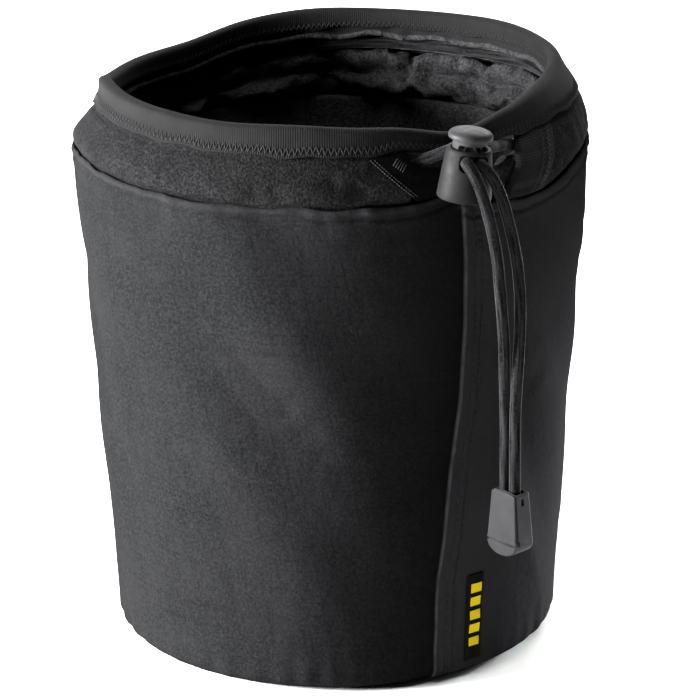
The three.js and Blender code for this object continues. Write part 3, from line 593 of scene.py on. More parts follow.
def label_weave():
    s = Shader("label_weave", (0.004, 0.004, 0.004), 0.75, Specular_IOR_Level=0.0)
    u, v, _ = s.axes(s.place("UV"))
    weft = s.wave(v, 0.004)
    warp = s.wave(u, 0.006)
    bars = s.math("GREATER_THAN", s.math("FRACT", s.math("DIVIDE", s.math("SUBTRACT", v, 0.035), 0.052)), 0.34)
    inside = s.times(s.math("GREATER_THAN", u, 0.014), s.math("LESS_THAN", u, 0.057))
    within = s.times(s.math("GREATER_THAN", v, 0.055), s.math("LESS_THAN", v, 0.295))
    mark = s.times(bars, s.times(inside, within))
    black = s.mix(weft, (0.002, 0.0022, 0.0017), (0.007, 0.0075, 0.006))
    yellow = s.mix(weft, (0.28, 0.21, 0.005), (0.6, 0.46, 0.01))
    s.color(s.mix(mark, black, yellow))
    s.bump((weft, 0.0001, 0.7), (warp, 0.00008, 0.5), (mark, 0.0002, 0.8))
    return s.material


place_camera()

# Each finish is a material and the slot that it belongs to
NYLON = ripstop(), "shell_nylon"
BAND = fleece("band_fleece", (0.003, 0.003, 0.0032), (0.014, 0.014, 0.0146), 1250.0, 0.0005), "band_fleece"
# The flap's fleece is far darker than the other tapes of its slot: partly its own dark colour, partly painted shade.
FLAP = fleece("flap_weave", (0.0006, 0.0006, 0.0007), (0.0026, 0.0026, 0.0028), 1900.0, 0.0005), "edge_tape"
LINING = fleece("lining_fleece", (0.012, 0.012, 0.0125), (0.04, 0.04, 0.042), 1100.0, 0.0006), "lining_fleece"
BINDING = grosgrain("binding_tape", (0.0022, 0.0022, 0.0024), (0.0073, 0.0073, 0.0077), "u", 0.009), "edge_tape"
END_TAPE = grosgrain("end_tape", (0.0035, 0.0035, 0.0037), (0.0105, 0.0105, 0.011), "v", 0.0075), "edge_tape"
CORD = shock_cord(), "shock_cord"
LOCK_PLASTIC = plastic("lock_plastic", (0.005, 0.0051, 0.0054), (0.0076, 0.0077, 0.0081), 0.55, 0.05), "lock_plastic"
# A lighter copy of the lock plastic for the button, which paints the light on its head.
LIT_BUTTON_PLASTIC = (
    plastic("lock_button_plastic_lit", (0.013, 0.0132, 0.0138), (0.019, 0.0192, 0.02), 0.55, 0.12), "lock_plastic"
)
END_PLASTIC = (
    plastic("cord_end_plastic", (0.0092, 0.0093, 0.0098), (0.0125, 0.0127, 0.0133), 0.6, 0.06), "cord_end_plastic"
)
# A lighter copy of the cord end's plastic for the faces that don't face front, which paints the light on its sides.
SIDE_LIT_PLASTIC = (
    plastic("cord_end_plastic_lit_sides", (0.03, 0.0304, 0.032), (0.04, 0.0404, 0.0424), 0.6, 0.06), "cord_end_plastic"
)
DARK_THREAD = thread("dark_thread", (0.007, 0.007, 0.0074)), "thread"
TAPE_THREAD = thread("tape_thread", (0.014, 0.014, 0.0148)), "thread"
GREY_THREAD = thread("grey_thread", (0.022, 0.022, 0.023)), "thread"
FOAM = simple("wall_foam", (0.05, 0.05, 0.052), (0.07, 0.07, 0.072), 0.95, 500.0), "foam"
BOARD = simple("stiffener_board", (0.02, 0.02, 0.02), (0.035, 0.035, 0.035), 0.7, 240.0)
STEEL = simple("spring_steel", (0.45, 0.45, 0.47), (0.62, 0.62, 0.64), 0.3, 800.0, 1.0), "spring_steel"
LABEL = label_weave(), "label_weave"


def cord_piece(name, line, node, radius=CORD_RADIUS):
    """A length of cord that bends between two bodies, from one point of its line to another."""
    piece = tube_along(name, line, radius, 20, braid=0.02)
    finish_piece(piece, CORD, [node], body=None)
    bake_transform(piece)
    return piece


# Each strand is two pieces: its root bends at the lock's mouth, and the rest, which laps it, hangs from it
ROOT_END, STRAND_START = 28, 25
STRAND_RADIUS = CORD_RADIUS - 0.015
strands, links = [], []
for side, route in (("left", STRAND_LEFT), ("right", STRAND_RIGHT)):
    line, node = smooth_route(route), "tail_strand_" + side
    cord_piece("strand_%s_root" % side, line[:ROOT_END], node)
    line = line[STRAND_START:]
    strand = cord_piece("strand_" + side, line, node, STRAND_RADIUS)
    strands.append((strand, line))
for side, route in (("left", LINK_LEFT), ("right", LINK_RIGHT)):
    line = smooth_route(route)
    links.append((cord_piece("loop_" + side, line, "link_" + side), line))

channel_line = ring_point(np.linspace(23.5, 360.0 - 10.8, 560), *CHANNEL) * 1000.0
finish_piece(tube_along("channel_cord", channel_line, CORD_RADIUS, 10), CORD, ["drawcord"])


# Shell: ripstop wall with a lap seam, a puckered hem and a rounded foot
def shell():
    fine = np.arange(-5.0, 11.6, 0.17)
    angles = np.concatenate([np.linspace(-180.0, -5.0, 236)[:-1], fine, np.linspace(11.7, 180.0, 226)])
    edge = int(np.searchsorted(angles, SEAM_BASE))
    angles[edge - 1], angles[edge] = SEAM_BASE - 0.03, SEAM_BASE + 0.03
    base = angles[None, :]
    notch = ease(ring_waves(base, 13, 16.0), 0.7, 1.9)
    hem = hem_at(base) + 0.4 * ring_waves(base, 5, 18.0) - 0.8 * notch
    share = np.concatenate([np.linspace(0.0, 0.9, 78)[:-1], np.linspace(0.9, 1.0, 26)])[:, None]
    height = CORNER_HEIGHT + (hem - CORNER_HEIGHT) * share
    arc = np.radians(base - SEAM_BASE) * shell_outer(height)
    step = 1.3 * np.clip(arc / 0.35, 0.0, 1.0) ** 0.5 * (1.0 - 0.8 * ease(arc, 1.0, 15.0))
    lap = np.where(arc < 0.0, -0.8 * ease(arc, -18.0, -1.5), 0.0)
    lap = lap + np.where(arc > 0.0, step - 0.8 * (1.0 - ease(arc, 5.0, 14.0)), 0.0)
    stitch = 0.0
    for row in SEAM_ROWS:
        stitch = stitch - 0.3 * hump(arc, row, 0.5) * (0.65 + 0.35 * np.cos(height * SEAM_RIPPLE))
    ripple = 0.22 * np.cos(height * SEAM_RIPPLE + 0.6) * hump(arc, 6.0, 1.5)
    from_hem = hem - height
    turned = 0.5 * hump(from_hem, 1.5, 1.3) - 0.4 * hump(from_hem, 4.0, 0.6) + 0.3 * hump(from_hem, 5.6, 1.2)
    pucker = turned + 0.32 * waves(base, height * 0.3, 11, 9.0, (0.0, 40.0)) * np.exp(-((from_hem / 5.0) ** 1.4))
    pucker = pucker - 0.9 * notch * hump(from_hem, 0.0, 3.0)
    drape = 0.75 * waves(base, height, 21, 42.0, (25.0, 80.0)) * ease(height, 8.0, 50.0)
    drape = drape * (1.0 - 0.8 * hump(arc, 0.0, 12.0))
    creases = 0.22 * waves(base, height, 31, 15.0, (20.0, 160.0)) * ease(waves(base, height, 33, 70.0), 0.0, 1.2)
    foot_pucker = 0.3 * waves(base, height * 0.2, 41, 9.0, (0.0, 20.0)) * np.exp(-((height - 6.0) / 5.0))
    side_fold = 0.9 * hump(arc + (height - 60.0) * 0.42, 34.0, 6.0) * bell(height, 55.0, 40.0)
    relief = lap + stitch + ripple + pucker + drape + creases + foot_pucker + side_fold
    outer = shell_outer(height) + relief * (1.0 - 0.3 * (1.0 - ease(from_hem, 0.0, 2.5)))
    quarter = column(0.0, math.pi / 2, 9)[:-1]
    steps, lean = np.sin(quarter), 1.0 - np.cos(quarter)
    foot = BASE_RADIUS + 0.3
    inner_height = CORNER_HEIGHT + (hem - 0.3 - CORNER_HEIGHT) * column(1.0, 0.0, 16)
    inner = shell_outer(inner_height) - SHELL_BACK - 0.55 * hump(base - SEAM_BASE, 0.0, 20.0 / 1.5)
    radius = closed(np.vstack([
        foot + (outer[:1] - foot) * steps, outer, outer[-1:] - 0.35, outer[-1:] - 0.75,
        inner, foot + (inner[-1:] - foot) * steps[::-1],
    ]))
    level = closed(np.vstack([
        0.25 + (CORNER_HEIGHT - 0.25) * lean + 0.0 * base, height, hem + 0.25, hem + 0.1,
        inner_height, 1.3 + (CORNER_HEIGHT - 1.3) * lean[::-1] + 0.0 * base,
    ]))
    front = len(lean) + len(height)
    v = np.vstack([np.maximum.accumulate(level[:front], axis=0), level[front:]])
    # The chart starts at the back, so that it doesn't break where the seam shows
    back = np.radians(np.where(base > SEAM_BASE, base - 180.0, base + 180.0))
    uv = stacked(back * shell_outer(np.maximum(level, 6.0)), v) * 0.01
    piece = cloth_ring("ripstop_wall", angles, radius, level, seam_shift(base, level), uv=uv)
    x, y, z = points_of(piece).T * 1000.0
    turn = np.degrees(np.arctan2(x, -y))
    rise = z - ease(z, SLOUCH_START, RIM_HEIGHT - BINDING_DEPTH) * rim_lift(turn)
    from_seam = np.radians(turn - SEAM_BASE - seam_shift(turn - 1.5, rise)) * shell_outer(rise)
    # Distances from the lap's edge and down from the hem, by which the nylon places its painted shade, painted light
    # and painted highlights
    for name, values in (("from_seam", from_seam), ("from_hem", hem_at(turn) - rise)):
        piece.data.attributes.new(name, "FLOAT", "POINT").data.foreach_set("value", 1000.0 + values)
    finish_piece(piece, NYLON, ["outer_shell"])


def on_shell(arc, height, lift):
    """A point beside the seam: its distance round from the lap's edge, its height and its lift off the shell."""
    radius = shell_outer(height)
    angle = SEAM_BASE + np.degrees(arc / radius)
    return ring_point(angle + seam_shift(angle, height), radius + lift, height) * 1000.0


def seam_stitches():
    starts, ends = [], []
    for row, lift in zip(SEAM_ROWS, (0.18, 0.22)):
        low = np.arange(3.0, 172.0, SEAM_PITCH)
        starts.append(on_shell(row, low, lift))
        ends.append(on_shell(row, low + 2.3, lift))
    stitches("seam_stitches", starts, ends, 0.2, DARK_THREAD)


def plate(name, radius, vertices, foot, edge, dish=False):
    """A round plate on the base's axis with an eased edge, and a shallow dish in its top if asked."""
    piece = disc(name, radius, vertices)
    with editing(piece):
        bpy.ops.transform.translate(value=(0.0, 0.0, foot))
        for rise, grow in edge:
            raise_rim(rise, grow)
        if dish:
            bpy.ops.mesh.select_mode(type="FACE")
            bpy.ops.mesh.inset(thickness=6.0)
            bpy.ops.transform.translate(value=(0.0, 0.0, -0.12))
    piece.data.transform(Matrix.Scale(0.001, 4))
    tidy_faces(piece)
    return piece


def base_cover():
    edge = ((0.3, 1.0055), (0.4, 1.0), (0.3, 0.9945))
    finish_piece(plate("base_cover", BASE_RADIUS - 0.4, 160, 0.0, edge, True), NYLON, ["base_panel"], 40)


# Places of the lining's gathers, in degrees round the rim
CREST_GATHERS = (
    14, 33, 50, 70, 88, 108, 130, 152.5, 172.6, 184.4, 196.4, 212, 230, 246, 265, 285, 301, 320, 338, 355,
)
PUFF_GATHERS = (2, 30, 58, 84, 112, 154, 185, 196.5, 207, 232, 255, 280, 305, 335)


def puff_up(piece, pinned, stretch, cap, bend):
    """Lets the free points of a sewn pad swell and wrinkle as cloth, none of them further than the cap."""
    select_only(piece)
    start = points_of(piece)
    sewn = piece.vertex_groups.new(name="sewn")
    sewn.add([int(i) for i in np.flatnonzero(pinned(start))], 1.0, "REPLACE")
    bpy.ops.object.modifier_add(type="CLOTH")
    cloth = piece.modifiers[-1]
    for rule, value in {
        "quality": 4, "mass": 0.02, "tension_stiffness": 12.0, "compression_stiffness": 12.0, "shear_stiffness": 4.0,
        "bending_stiffness": bend, "shrink_min": -stretch, "shrink_max": -stretch, "use_pressure": True,
        "uniform_pressure_force": 4.0, "vertex_group_mass": "sewn",
    }.items():
        setattr(cloth.settings, rule, value)
    cloth.settings.effector_weights.gravity = 0.0
    cloth.collision_settings.use_collision = False
    cloth.collision_settings.use_self_collision = False
    cloth.point_cache.frame_start, cloth.point_cache.frame_end = 1, 20
    for step in range(1, 21):
        bpy.context.scene.frame_set(step)
    bpy.ops.object.modifier_apply(modifier=cloth.name)
    end = points_of(piece)
    far = np.linalg.norm(end - start, axis=1)[:, None]
    end = start + (end - start) * np.minimum(1.0, cap / np.maximum(far, 1e-9))
    print("simulated", piece.name, "mean and greatest move in mm", 1000.0 * far.mean(), 1000.0 * far.max())
    piece.data.vertices.foreach_set("co", end.ravel())
    piece.data.update()
    piece.vertex_groups.clear()
    bpy.context.scene.frame_set(1)
    apply_modifier(piece, "SUBSURF", levels=1, render_levels=1)


# Inside of the wall
def wall_layers():
    angles = np.linspace(-180.0, 180.0, 361)
    low, top = 7.4, 170.2
    height = np.vstack([column(low, top, 60), column(top, low, 20)]) + 0.0 * angles
    radius = np.vstack([shell_outer(height[:60]) - FOAM_FRONT, shell_outer(height[60:]) - FOAM_BACK])
    foam = cloth_ring("wall_foam", angles, closed(radius), closed(height))
    finish_piece(foam, FOAM, ["shell_padding"])

    angles = np.linspace(-180.0, 180.0, 541)
    low, top = 6.6, ROLL_FOOT - 0.1
    rise = column(low, top, 90)
    inside = shell_outer(rise) - LINING_BACK + 0.45 * waves(angles, rise, 51, 34.0) * ease(rise, 10.0, 40.0)
    folds = between(angles, PUFF_GATHERS, 1.0) * ease(rise, 120.0, 166.0)
    inside = inside - 2.6 * folds - 0.3 * waves(angles, rise * 0.35, 53, 16.0, (0.0, 30.0)) * ease(rise, 110.0, 165.0)
    drop = column(top, low, 14) + 0.0 * angles
    radius = np.vstack([inside, shell_outer(drop) - LINING_FRONT])
    height = np.vstack([rise + 0.0 * angles, drop])
    wall = cloth_ring("lining_wall", angles, closed(radius), closed(height))
    finish_piece(wall, LINING, ["side_lining"])


def between(angle, places, sharp):
    """0 at each gather, at those places in degrees, and 1 half way to the next one."""
    ends = np.array([*places, places[0] + 360.0])
    turned = np.mod(angle - ends[0], 360.0) + ends[0]
    i = np.clip(np.searchsorted(ends, turned, side="right") - 1, 0, len(places) - 1)
    share = (turned - ends[i]) / (ends[i + 1] - ends[i])
    return np.sin(math.pi * np.clip(share, 0.0, 1.0)) ** sharp


def lining_roll():
    """The gathered upper edge of the lining: a puffy roll, a line of gathers and larger puffs below it."""
    angles = np.linspace(-180.0, 180.0, 421)
    upper = between(angles, CREST_GATHERS, 0.5)
    lower = between(angles, PUFF_GATHERS, 0.7)
    crest = np.minimum(ROLL_TOP - 3.0 * (1.0 - upper) + 0.3 * ring_waves(angles, 61, 12.0), ROLL_TOP)
    back = shell_outer(181.0) - 4.9
    reach_up = 4.4 + 2.8 * upper
    rows = []
    for s in np.linspace(0.0, 1.0, 15):
        swing = math.pi * s * 0.93
        rows.append((back - 0.5 * reach_up * (1.0 - math.cos(swing)), crest - 3.6 + 3.6 * math.sin(swing)))
    rows.append((back - reach_up + 0.9, crest - 5.6))
    gather = ROLL_TOP - 8.6 + 0.5 * ring_waves(angles, 63, 30.0)
    rows.append((back - 2.6 + 0.8 * (1.0 - lower), gather))
    for s in np.linspace(0.1, 1.0, 18):
        swell = math.sin(math.pi * s) ** 0.7 * (1.0 - 0.2 * s)
        reach = back - 2.6 * (1.0 - s) - 0.6 * s - (0.6 + 7.4 * lower) * swell
        rows.append((reach, gather + (ROLL_FOOT - gather) * s))
    for s in np.linspace(0.0, 1.0, 8):
        height = ROLL_FOOT + (crest - 3.6 - ROLL_FOOT) * s
        rows.append((shell_outer(height) - LINING_FRONT, height))
    radius, height = section(rows, angles)
    soft = np.zeros(len(radius))
    soft[2:34] = 1.0
    radius = radius + soft[:, None] * 0.4 * waves(angles, height * 1.4, 71, 9.0, (10.0, 170.0))
    piece = cloth_ring("lining_roll_puffs", angles, radius, height)
    puff_up(piece, lambda p: np.hypot(p[:, 0], p[:, 1]) > 0.001 * (back - 1.6), 0.035, 0.0018, 0.8)
    finish_piece(piece, LINING, ["lining_roll"])


def floor_lining():
    angles = np.linspace(-180.0, 180.0, 181)
    share = np.array([0.002, 0.12, 0.25, 0.4, 0.55, 0.7, 0.82, 0.92, 0.975, 1.0])[:, None]
    size = 71.6
    top = 7.45 + 0.12 * waves(angles, share * size, 81, 30.0) * (1.0 - share)
    flat = 0.0 * angles[None, :]
    radius = np.vstack([size * share + flat, size + flat, size * share[::-1] + flat])
    height = np.vstack([top, 7.0 + flat, 6.5 + 0.0 * share + flat])
    finish_piece(cloth_ring("floor_lining", angles, closed(radius), closed(height)), LINING, ["base_lining"])


def floor_foam():
    piece = plate("floor_foam", 73.0, 120, 3.12, ((0.6, 1.006), (1.7, 1.0), (0.6, 0.994)))
    finish_piece(piece, FOAM, ["base_padding"], 40)


# Collar: band, channel facing and folded binding
def sewn_band(points):
    """The band's points that are sewn or held: its hem, its ends, its back and what the binding covers."""
    angle = np.degrees(np.arctan2(points[:, 0], -points[:, 1]))
    height = points[:, 2] * 1000.0 - rim_lift(angle)
    reach = np.hypot(points[:, 0], points[:, 1]) * 1000.0 - rim_pull(angle, height)
    ends = (angle > GAP_LEFT - 9.0) & (angle < GAP_RIGHT + 15.0)
    return ends | (height < hem_at(angle) + 1.4) | (height > 192.5) | (reach < band_outer(height) - 0.9)


def collar_band():
    angles = np.linspace(GAP_RIGHT, 360.0 + GAP_LEFT, 400)
    hem = hem_at(angles)[None, :]
    bottom, top = 170.9, 202.2
    low_height = bottom + (hem + 0.7 - bottom) * column(0.0, 1.0, 7)
    low_radius = shell_outer(low_height) - 1.45
    share = column(0.0, 1.0, 32) ** 1.1
    height = (hem + 1.5) + (top - hem - 1.5) * share
    lumps = 0.22 * waves(angles[None, :], height, 91, 30.0) + 0.1 * waves(angles[None, :], height * 0.6, 93, 12.0)
    lumps = lumps * ease(height, hem + 1.0, hem + 6.0) * (1.0 - ease(height, 189.5, 193.5))
    sag = 0.55 * hump(height - hem, 4.5, 4.0) * (1.0 + 0.5 * ring_waves(angles, 95, 40.0))
    radius = band_outer(height) + lumps + sag - 0.15 - 0.5 * ease(height, top - 1.5, top)
    back_height = bottom + (top - 0.6 - bottom) * column(1.0, 0.0, 14) + 0.0 * hem
    collar = (back_height - HEM_HEIGHT) / (RIM_HEIGHT - HEM_HEIGHT)
    back_radius = band_outer(back_height) - 1.2 - 1.8 * (1.0 - ease(collar, 0.26, 0.6))
    back_radius = np.minimum(back_radius, shell_outer(back_height) - 4.3)
    back_radius = np.where(back_height > HEM_HEIGHT, np.maximum(back_radius, 78.3), back_radius)
    rows_r = closed(np.vstack([low_radius, radius, back_radius]))
    rows_z = closed(np.vstack([low_height, height, back_height]))
    turned_on = (gap_right(rows_z) - GAP_RIGHT) * (1.0 - ease(angles, GAP_RIGHT, GAP_RIGHT + 24.6))
    piece = cloth_ring("fleece_band", angles, rows_r, rows_z, turned_on, fill=True)
    puff_up(piece, sewn_band, 0.006, 0.0004, 1.5)
    finish_piece(piece, BAND, ["collar_band"])


def channel_facing():
    """A tape inside the rim with a rolled lower edge, like a soft piping."""
    angles = np.linspace(-180.0, 180.0, 541)
    low = FACING_LOW
    rows = [(78.0, z) for z in (202.0, 200.8, 199.6, 198.4, 197.2, low + 2.6)]
    for turn in np.linspace(-0.35, 1.22, 12) * math.pi:
        rows.append((77.05 + 0.98 * math.cos(turn + math.pi / 2 - 1.57), low + 1.0 - 0.98 * math.sin(turn)))
    rows += [(77.2, low + 3.0), (77.1, 197.2)] + [(77.0, z) for z in (198.4, 199.6, 200.8, 202.0)]
    radius, height = section(rows, angles)
    loose = np.zeros((len(radius), 1))
    loose[5:-6] = 1.0
    height = height + loose * 0.4 * ring_waves(angles, 101, 26.0)
    radius = radius + loose * 0.2 * ring_waves(angles, 103, 12.0)
    finish_piece(cloth_ring("channel_facing", angles, radius, height), BINDING, ["collar_facing"])
    turn = np.linspace(3.0, 357.0, 700)
    height = low + 1.1 + 0.4 * ring_waves(turn, 101, 26.0)
    reach = 76.85 + 0.2 * ring_waves(turn, 103, 12.0) + 0.12 * ring_waves(turn, 105, 5.0)
    finish_piece(tube_along("channel_piping", ring_point(turn, reach, height) * 1000.0, 1.05, 12), LINING)


def binding_outer_radius(angle, height):
    flare = 0.55 * bell(angle, 38.0, 26.0) * (1.0 - ease(height, 195.0, 199.0))
    return band_outer(height) + 1.15 + flare


def binding_low(angle):
    wander = 0.3 * ring_waves(angle, 111, 20.0)
    return RIM_HEIGHT - BINDING_DEPTH + 1.5 * bell(angle, GAP_LEFT + 1.0, 6.0) + wander


def rim_binding():
    angles = np.linspace(-180.0, 180.0, 721)
    low = binding_low(angles)
    rows = []
    for s in np.linspace(0.0, 1.0, 14):
        height = low + (BINDING_BEND - low) * s
        rows.append((binding_outer_radius(angles, height) - 0.16 * hump(s, 0.2, 0.07), height))
    crest = binding_outer_radius(angles, BINDING_BEND)
    inside = 75.85
    for s in np.linspace(0.12, 0.9, 9):
        swing = math.pi * s
        reach = 0.5 * (crest + inside) + 0.5 * (crest - inside) * math.cos(swing)
        rows.append((reach, BINDING_BEND + 1.85 * math.sin(swing)))
    bottom = 197.4 + 0.3 * ring_waves(angles, 113, 18.0)
    for s in np.linspace(0.0, 1.0, 9):
        rows.append((inside + 0.14 * hump(s, 0.78, 0.1), 202.2 + (bottom - 202.2) * s))
    rows += [(inside + 0.8, bottom), (inside + 0.85, 201.9)]
    for s in np.linspace(0.0, 1.0, 8):
        height = 202.6 + (low + 0.1 - 202.6) * s
        rows.append((binding_outer_radius(angles, height) - 0.9, height))
    radius, height = section(rows, angles)
    height = height + 0.35 * ring_waves(angles, 115, 55.0) * ease(height, 199.0, 203.0)
    finish_piece(cloth_ring("rim_binding_tape", angles, radius, height), BINDING, ["rim_binding"])


def zigzag(name, angles, height, width, radius_at, size):
    """A zigzag of thread round a ring, one stitch from each corner to the next."""
    corners = height + width * 0.5 * np.where(np.arange(len(angles)) % 2, 1.0, -1.0)
    points = ring_point(angles, radius_at(angles, corners), corners) * 1000.0
    stitches(name, points[:-1], points[1:], size, TAPE_THREAD)


def binding_stitches():
    around = np.arange(-180.0, 180.0, 0.7)
    low = binding_low(around) + 2.0
    zigzag("binding_zigzag_outer", around, low, 2.5, lambda a, h: binding_outer_radius(a, h) + 0.02, 0.16)
    zigzag("binding_zigzag_inner", around, 198.6, 1.9, lambda a, h: 75.8, 0.15)


# Tapes at the ends of the band
def end_tape(name, node, tip_at, far_at, fold_at, foot_at, bottom, material, ripple):
    """A tape on the band, from its far edge to its tip, where it is folded over the band's end that deep."""
    height = column(bottom, 194.6, 60)
    wave = ripple * waves(0.0, height * 6.0, 121, 30.0, (60.0, 90.0), 8)
    out = band_outer(height)
    side = 1.0 if far_at(height).mean() > tip_at(height).mean() else -1.0
    tip = np.radians(tip_at(height)) - side * 0.5 * wave / out
    far = np.radians(far_at(height)) + side * wave / out
    fold = fold_at(height)
    face = out + 0.55 + 0.12 * waves(0.0, height * 8.0, 123, 30.0, (60.0, 90.0), 8)
    loop = []
    for s in np.linspace(0.0, 1.0, 22):
        loop.append((far + (tip - far) * s, face + 0.15 + 0.3 * math.sin(math.pi * s) ** 0.7))
    over = ((-0.003, 0.1, 0.0), (-0.003, 0.25, 0.9), (0.003, 0.3, 1.0), (0.006, 0.3, 0.9), (0.007, 0.25, 0.0))
    for shift, drop, share in over:
        loop.append((tip + side * shift, face - drop - share * fold))
    for s in np.linspace(0.1, 1.0, 12):
        loop.append((tip + (far - tip) * s, face - 0.25))
    loop.append(loop[0])
    angle = np.degrees(np.concatenate([a for a, _ in loop], axis=1))
    radius = np.concatenate([r for _, r in loop], axis=1)
    level = height + (foot_at(angle) - bottom) * (1.0 - ease(height, bottom, bottom + 9.0))
    points = ring_point(angle, radius + band_outer(level) - out, level)
    uv = stacked(side * (np.radians(angle) - tip) * HEM_RADIUS, height) * 0.01
    finish_piece(wrapped_grid(name, points, uv, fill=True), material, [node], 50)


def end_tapes():
    wrap = 0.64
    end_tape(
        "band_flap_left", "channel_tape_left",
        lambda h: GAP_LEFT + wrap + (8.0 - wrap) * (1.0 - ease(h, FLAP_TOP, FLAP_TOP + 1.5)),
        flap_edge,
        lambda h: 2.3 * ease(h, FLAP_TOP + 0.5, FLAP_TOP + 1.5),
        lambda a: hem_at(a) + 0.9, 180.5, FLAP, 0.1,
    )
    end_tape(
        "band_tape_right", "channel_tape_right",
        lambda h: gap_right(h) - wrap,
        lambda h: gap_right(h) + np.degrees(18.0 / band_outer(h)),
        lambda h: 2.3 + 0.0 * h,
        lambda a: hem_at(a) + 1.7, 175.8, END_TAPE, 0.35,
    )


def tape_stitches():
    height = np.arange(177.0, 194.2, TAPE_PITCH)
    swing = np.where(np.arange(len(height)) % 2, 1.0, -1.0)
    starts, ends = [], []
    for arc, width in ((10.6, 1.6), (14.2, 2.4)):
        radius = band_outer(height) + 1.14
        angle = gap_right(height) + np.degrees((arc + 0.5 * width * swing) / radius)
        points = ring_point(angle, radius, height) * 1000.0
        starts.append(points[:-1])
        ends.append(points[1:])
    stitches("tape_zigzag", starts, ends, 0.16, TAPE_THREAD)


def flap_edge(height):
    """The slanted edge of the left flap, in degrees."""
    return -8.2 - 0.736 * (height - HEM_HEIGHT)


def flap_stitches():
    """Two rows of close stitches beside the flap's slanted edge."""
    starts, ends = [], []
    for inset in (0.9, 2.3):
        high = np.arange(182.2, 193.6, TAPE_PITCH)
        for rows, z in ((starts, high), (ends, high + 0.45)):
            angle = flap_edge(z) + np.degrees(inset / HEM_RADIUS)
            rows.append(ring_point(angle, band_outer(z) + 0.98, z) * 1000.0)
    stitches("flap_stitches", starts, ends, 0.17, GREY_THREAD)


def bar_tack():
    """The bar tack's slanted threads, at the places that the CAD model gives them."""
    step = np.arange(5)
    high = RIM_HEIGHT - BINDING_DEPTH - 0.3 - 0.6 - 0.47 * step
    slant = 3.0 / math.sqrt(2.0)
    angle = GAP_LEFT - 3.56 + np.degrees(0.705 * step / HEM_RADIUS)
    starts = ring_point(angle, band_outer(high - slant) + 1.3, high - slant) * 1000.0
    ends = ring_point(angle + math.degrees(slant / HEM_RADIUS), band_outer(high) + 1.3, high) * 1000.0
    stitches("bar_tack", starts, ends, 0.24, GREY_THREAD, ["bartack_left"])


def label():
    """A folded woven label, sewn flat beside the seam."""
    low, tall, width, middle = 5.9, 32.8, 7.0, 8.95
    rise = column(low, low + tall, 40)
    across = np.linspace(-0.5, 0.5, 13)[None, :]
    radius = shell_outer(rise)
    angle = middle + np.degrees(across * width / shell_outer(low))
    puff = 0.12 * np.sin((rise - low) * 0.5) + 0.1 * waves(angle, rise, 131, 12.0)
    edge = np.maximum(np.abs(across) * 2.0, np.abs((rise - low) / tall * 2.0 - 1.0)) ** 8
    sides = [ring_point(angle, radius + 1.35 + puff - 0.5 * edge, rise)]
    sides.append(ring_point(angle, radius + 0.55 + 0.0 * across, rise)[:, ::-1])
    points = np.concatenate([*sides, sides[0][:, :1]], axis=1)
    u = (across + 0.5) * width
    u = np.concatenate([u, u[:, ::-1], u[:, :1]], axis=1)
    piece = wrapped_grid("woven_label_folded", points, stacked(u, rise - low) * 0.01, fill=True)
    finish_piece(piece, LABEL, ["woven_label"], 50)


# Plastic fittings, modelled in their own frames in millimetres
def fitting_frame(place, turn, lean=0.0):
    moved = Matrix.Translation(Vector(place) * 0.001) @ Matrix.Rotation(math.radians(turn), 4, "Z")
    return moved @ Matrix.Rotation(math.radians(lean), 4, "Y") @ Matrix.Scale(0.001, 4)


LOCK_FRAME = fitting_frame(LOCK_PLACE, -14.0, 6.5)
END_FRAME = fitting_frame((9.2, -110.0, 81.2), -74.5)


def turned(name, outline, vertices=72):
    """A turned solid: a disc extruded along Z from each point of the outline to the next."""
    radius, height = outline[0]
    piece = disc(name, radius, vertices)
    with editing(piece):
        bpy.ops.transform.translate(value=(0.0, 0.0, height))
        for next_radius, next_height in outline[1:]:
            raise_rim(next_height - height, next_radius / radius)
            radius, height = next_radius, next_height
    tidy_faces(piece, join=1e-4)
    return piece


def block(name, size, place, bevel=0.0, segments=3):
    piece = added(name, bpy.ops.mesh.primitive_cube_add, size=1.0)
    with editing(piece):
        bpy.ops.transform.resize(value=size)
        bpy.ops.transform.translate(value=place)
        if bevel:
            bpy.ops.mesh.bevel(offset=bevel, segments=segments, affect="EDGES")
    return piece


def apply_modifier(piece, kind, **settings):
    select_only(piece)
    modifier = piece.modifiers.new(kind.lower(), kind)
    for key, value in settings.items():
        setattr(modifier, key, value)
    bpy.ops.object.modifier_apply(modifier=modifier.name)


def carve(piece, cutter, operation="DIFFERENCE"):
    apply_modifier(piece, "BOOLEAN", operation=operation, object=cutter, solver="EXACT")
    bpy.data.objects.remove(cutter)


def ease_edges(piece, width, segments=2, angle=40.0):
    apply_modifier(
        piece, "BEVEL", width=width, segments=segments, limit_method="ANGLE",
        angle_limit=math.radians(angle), use_clamp_overlap=True,
    )


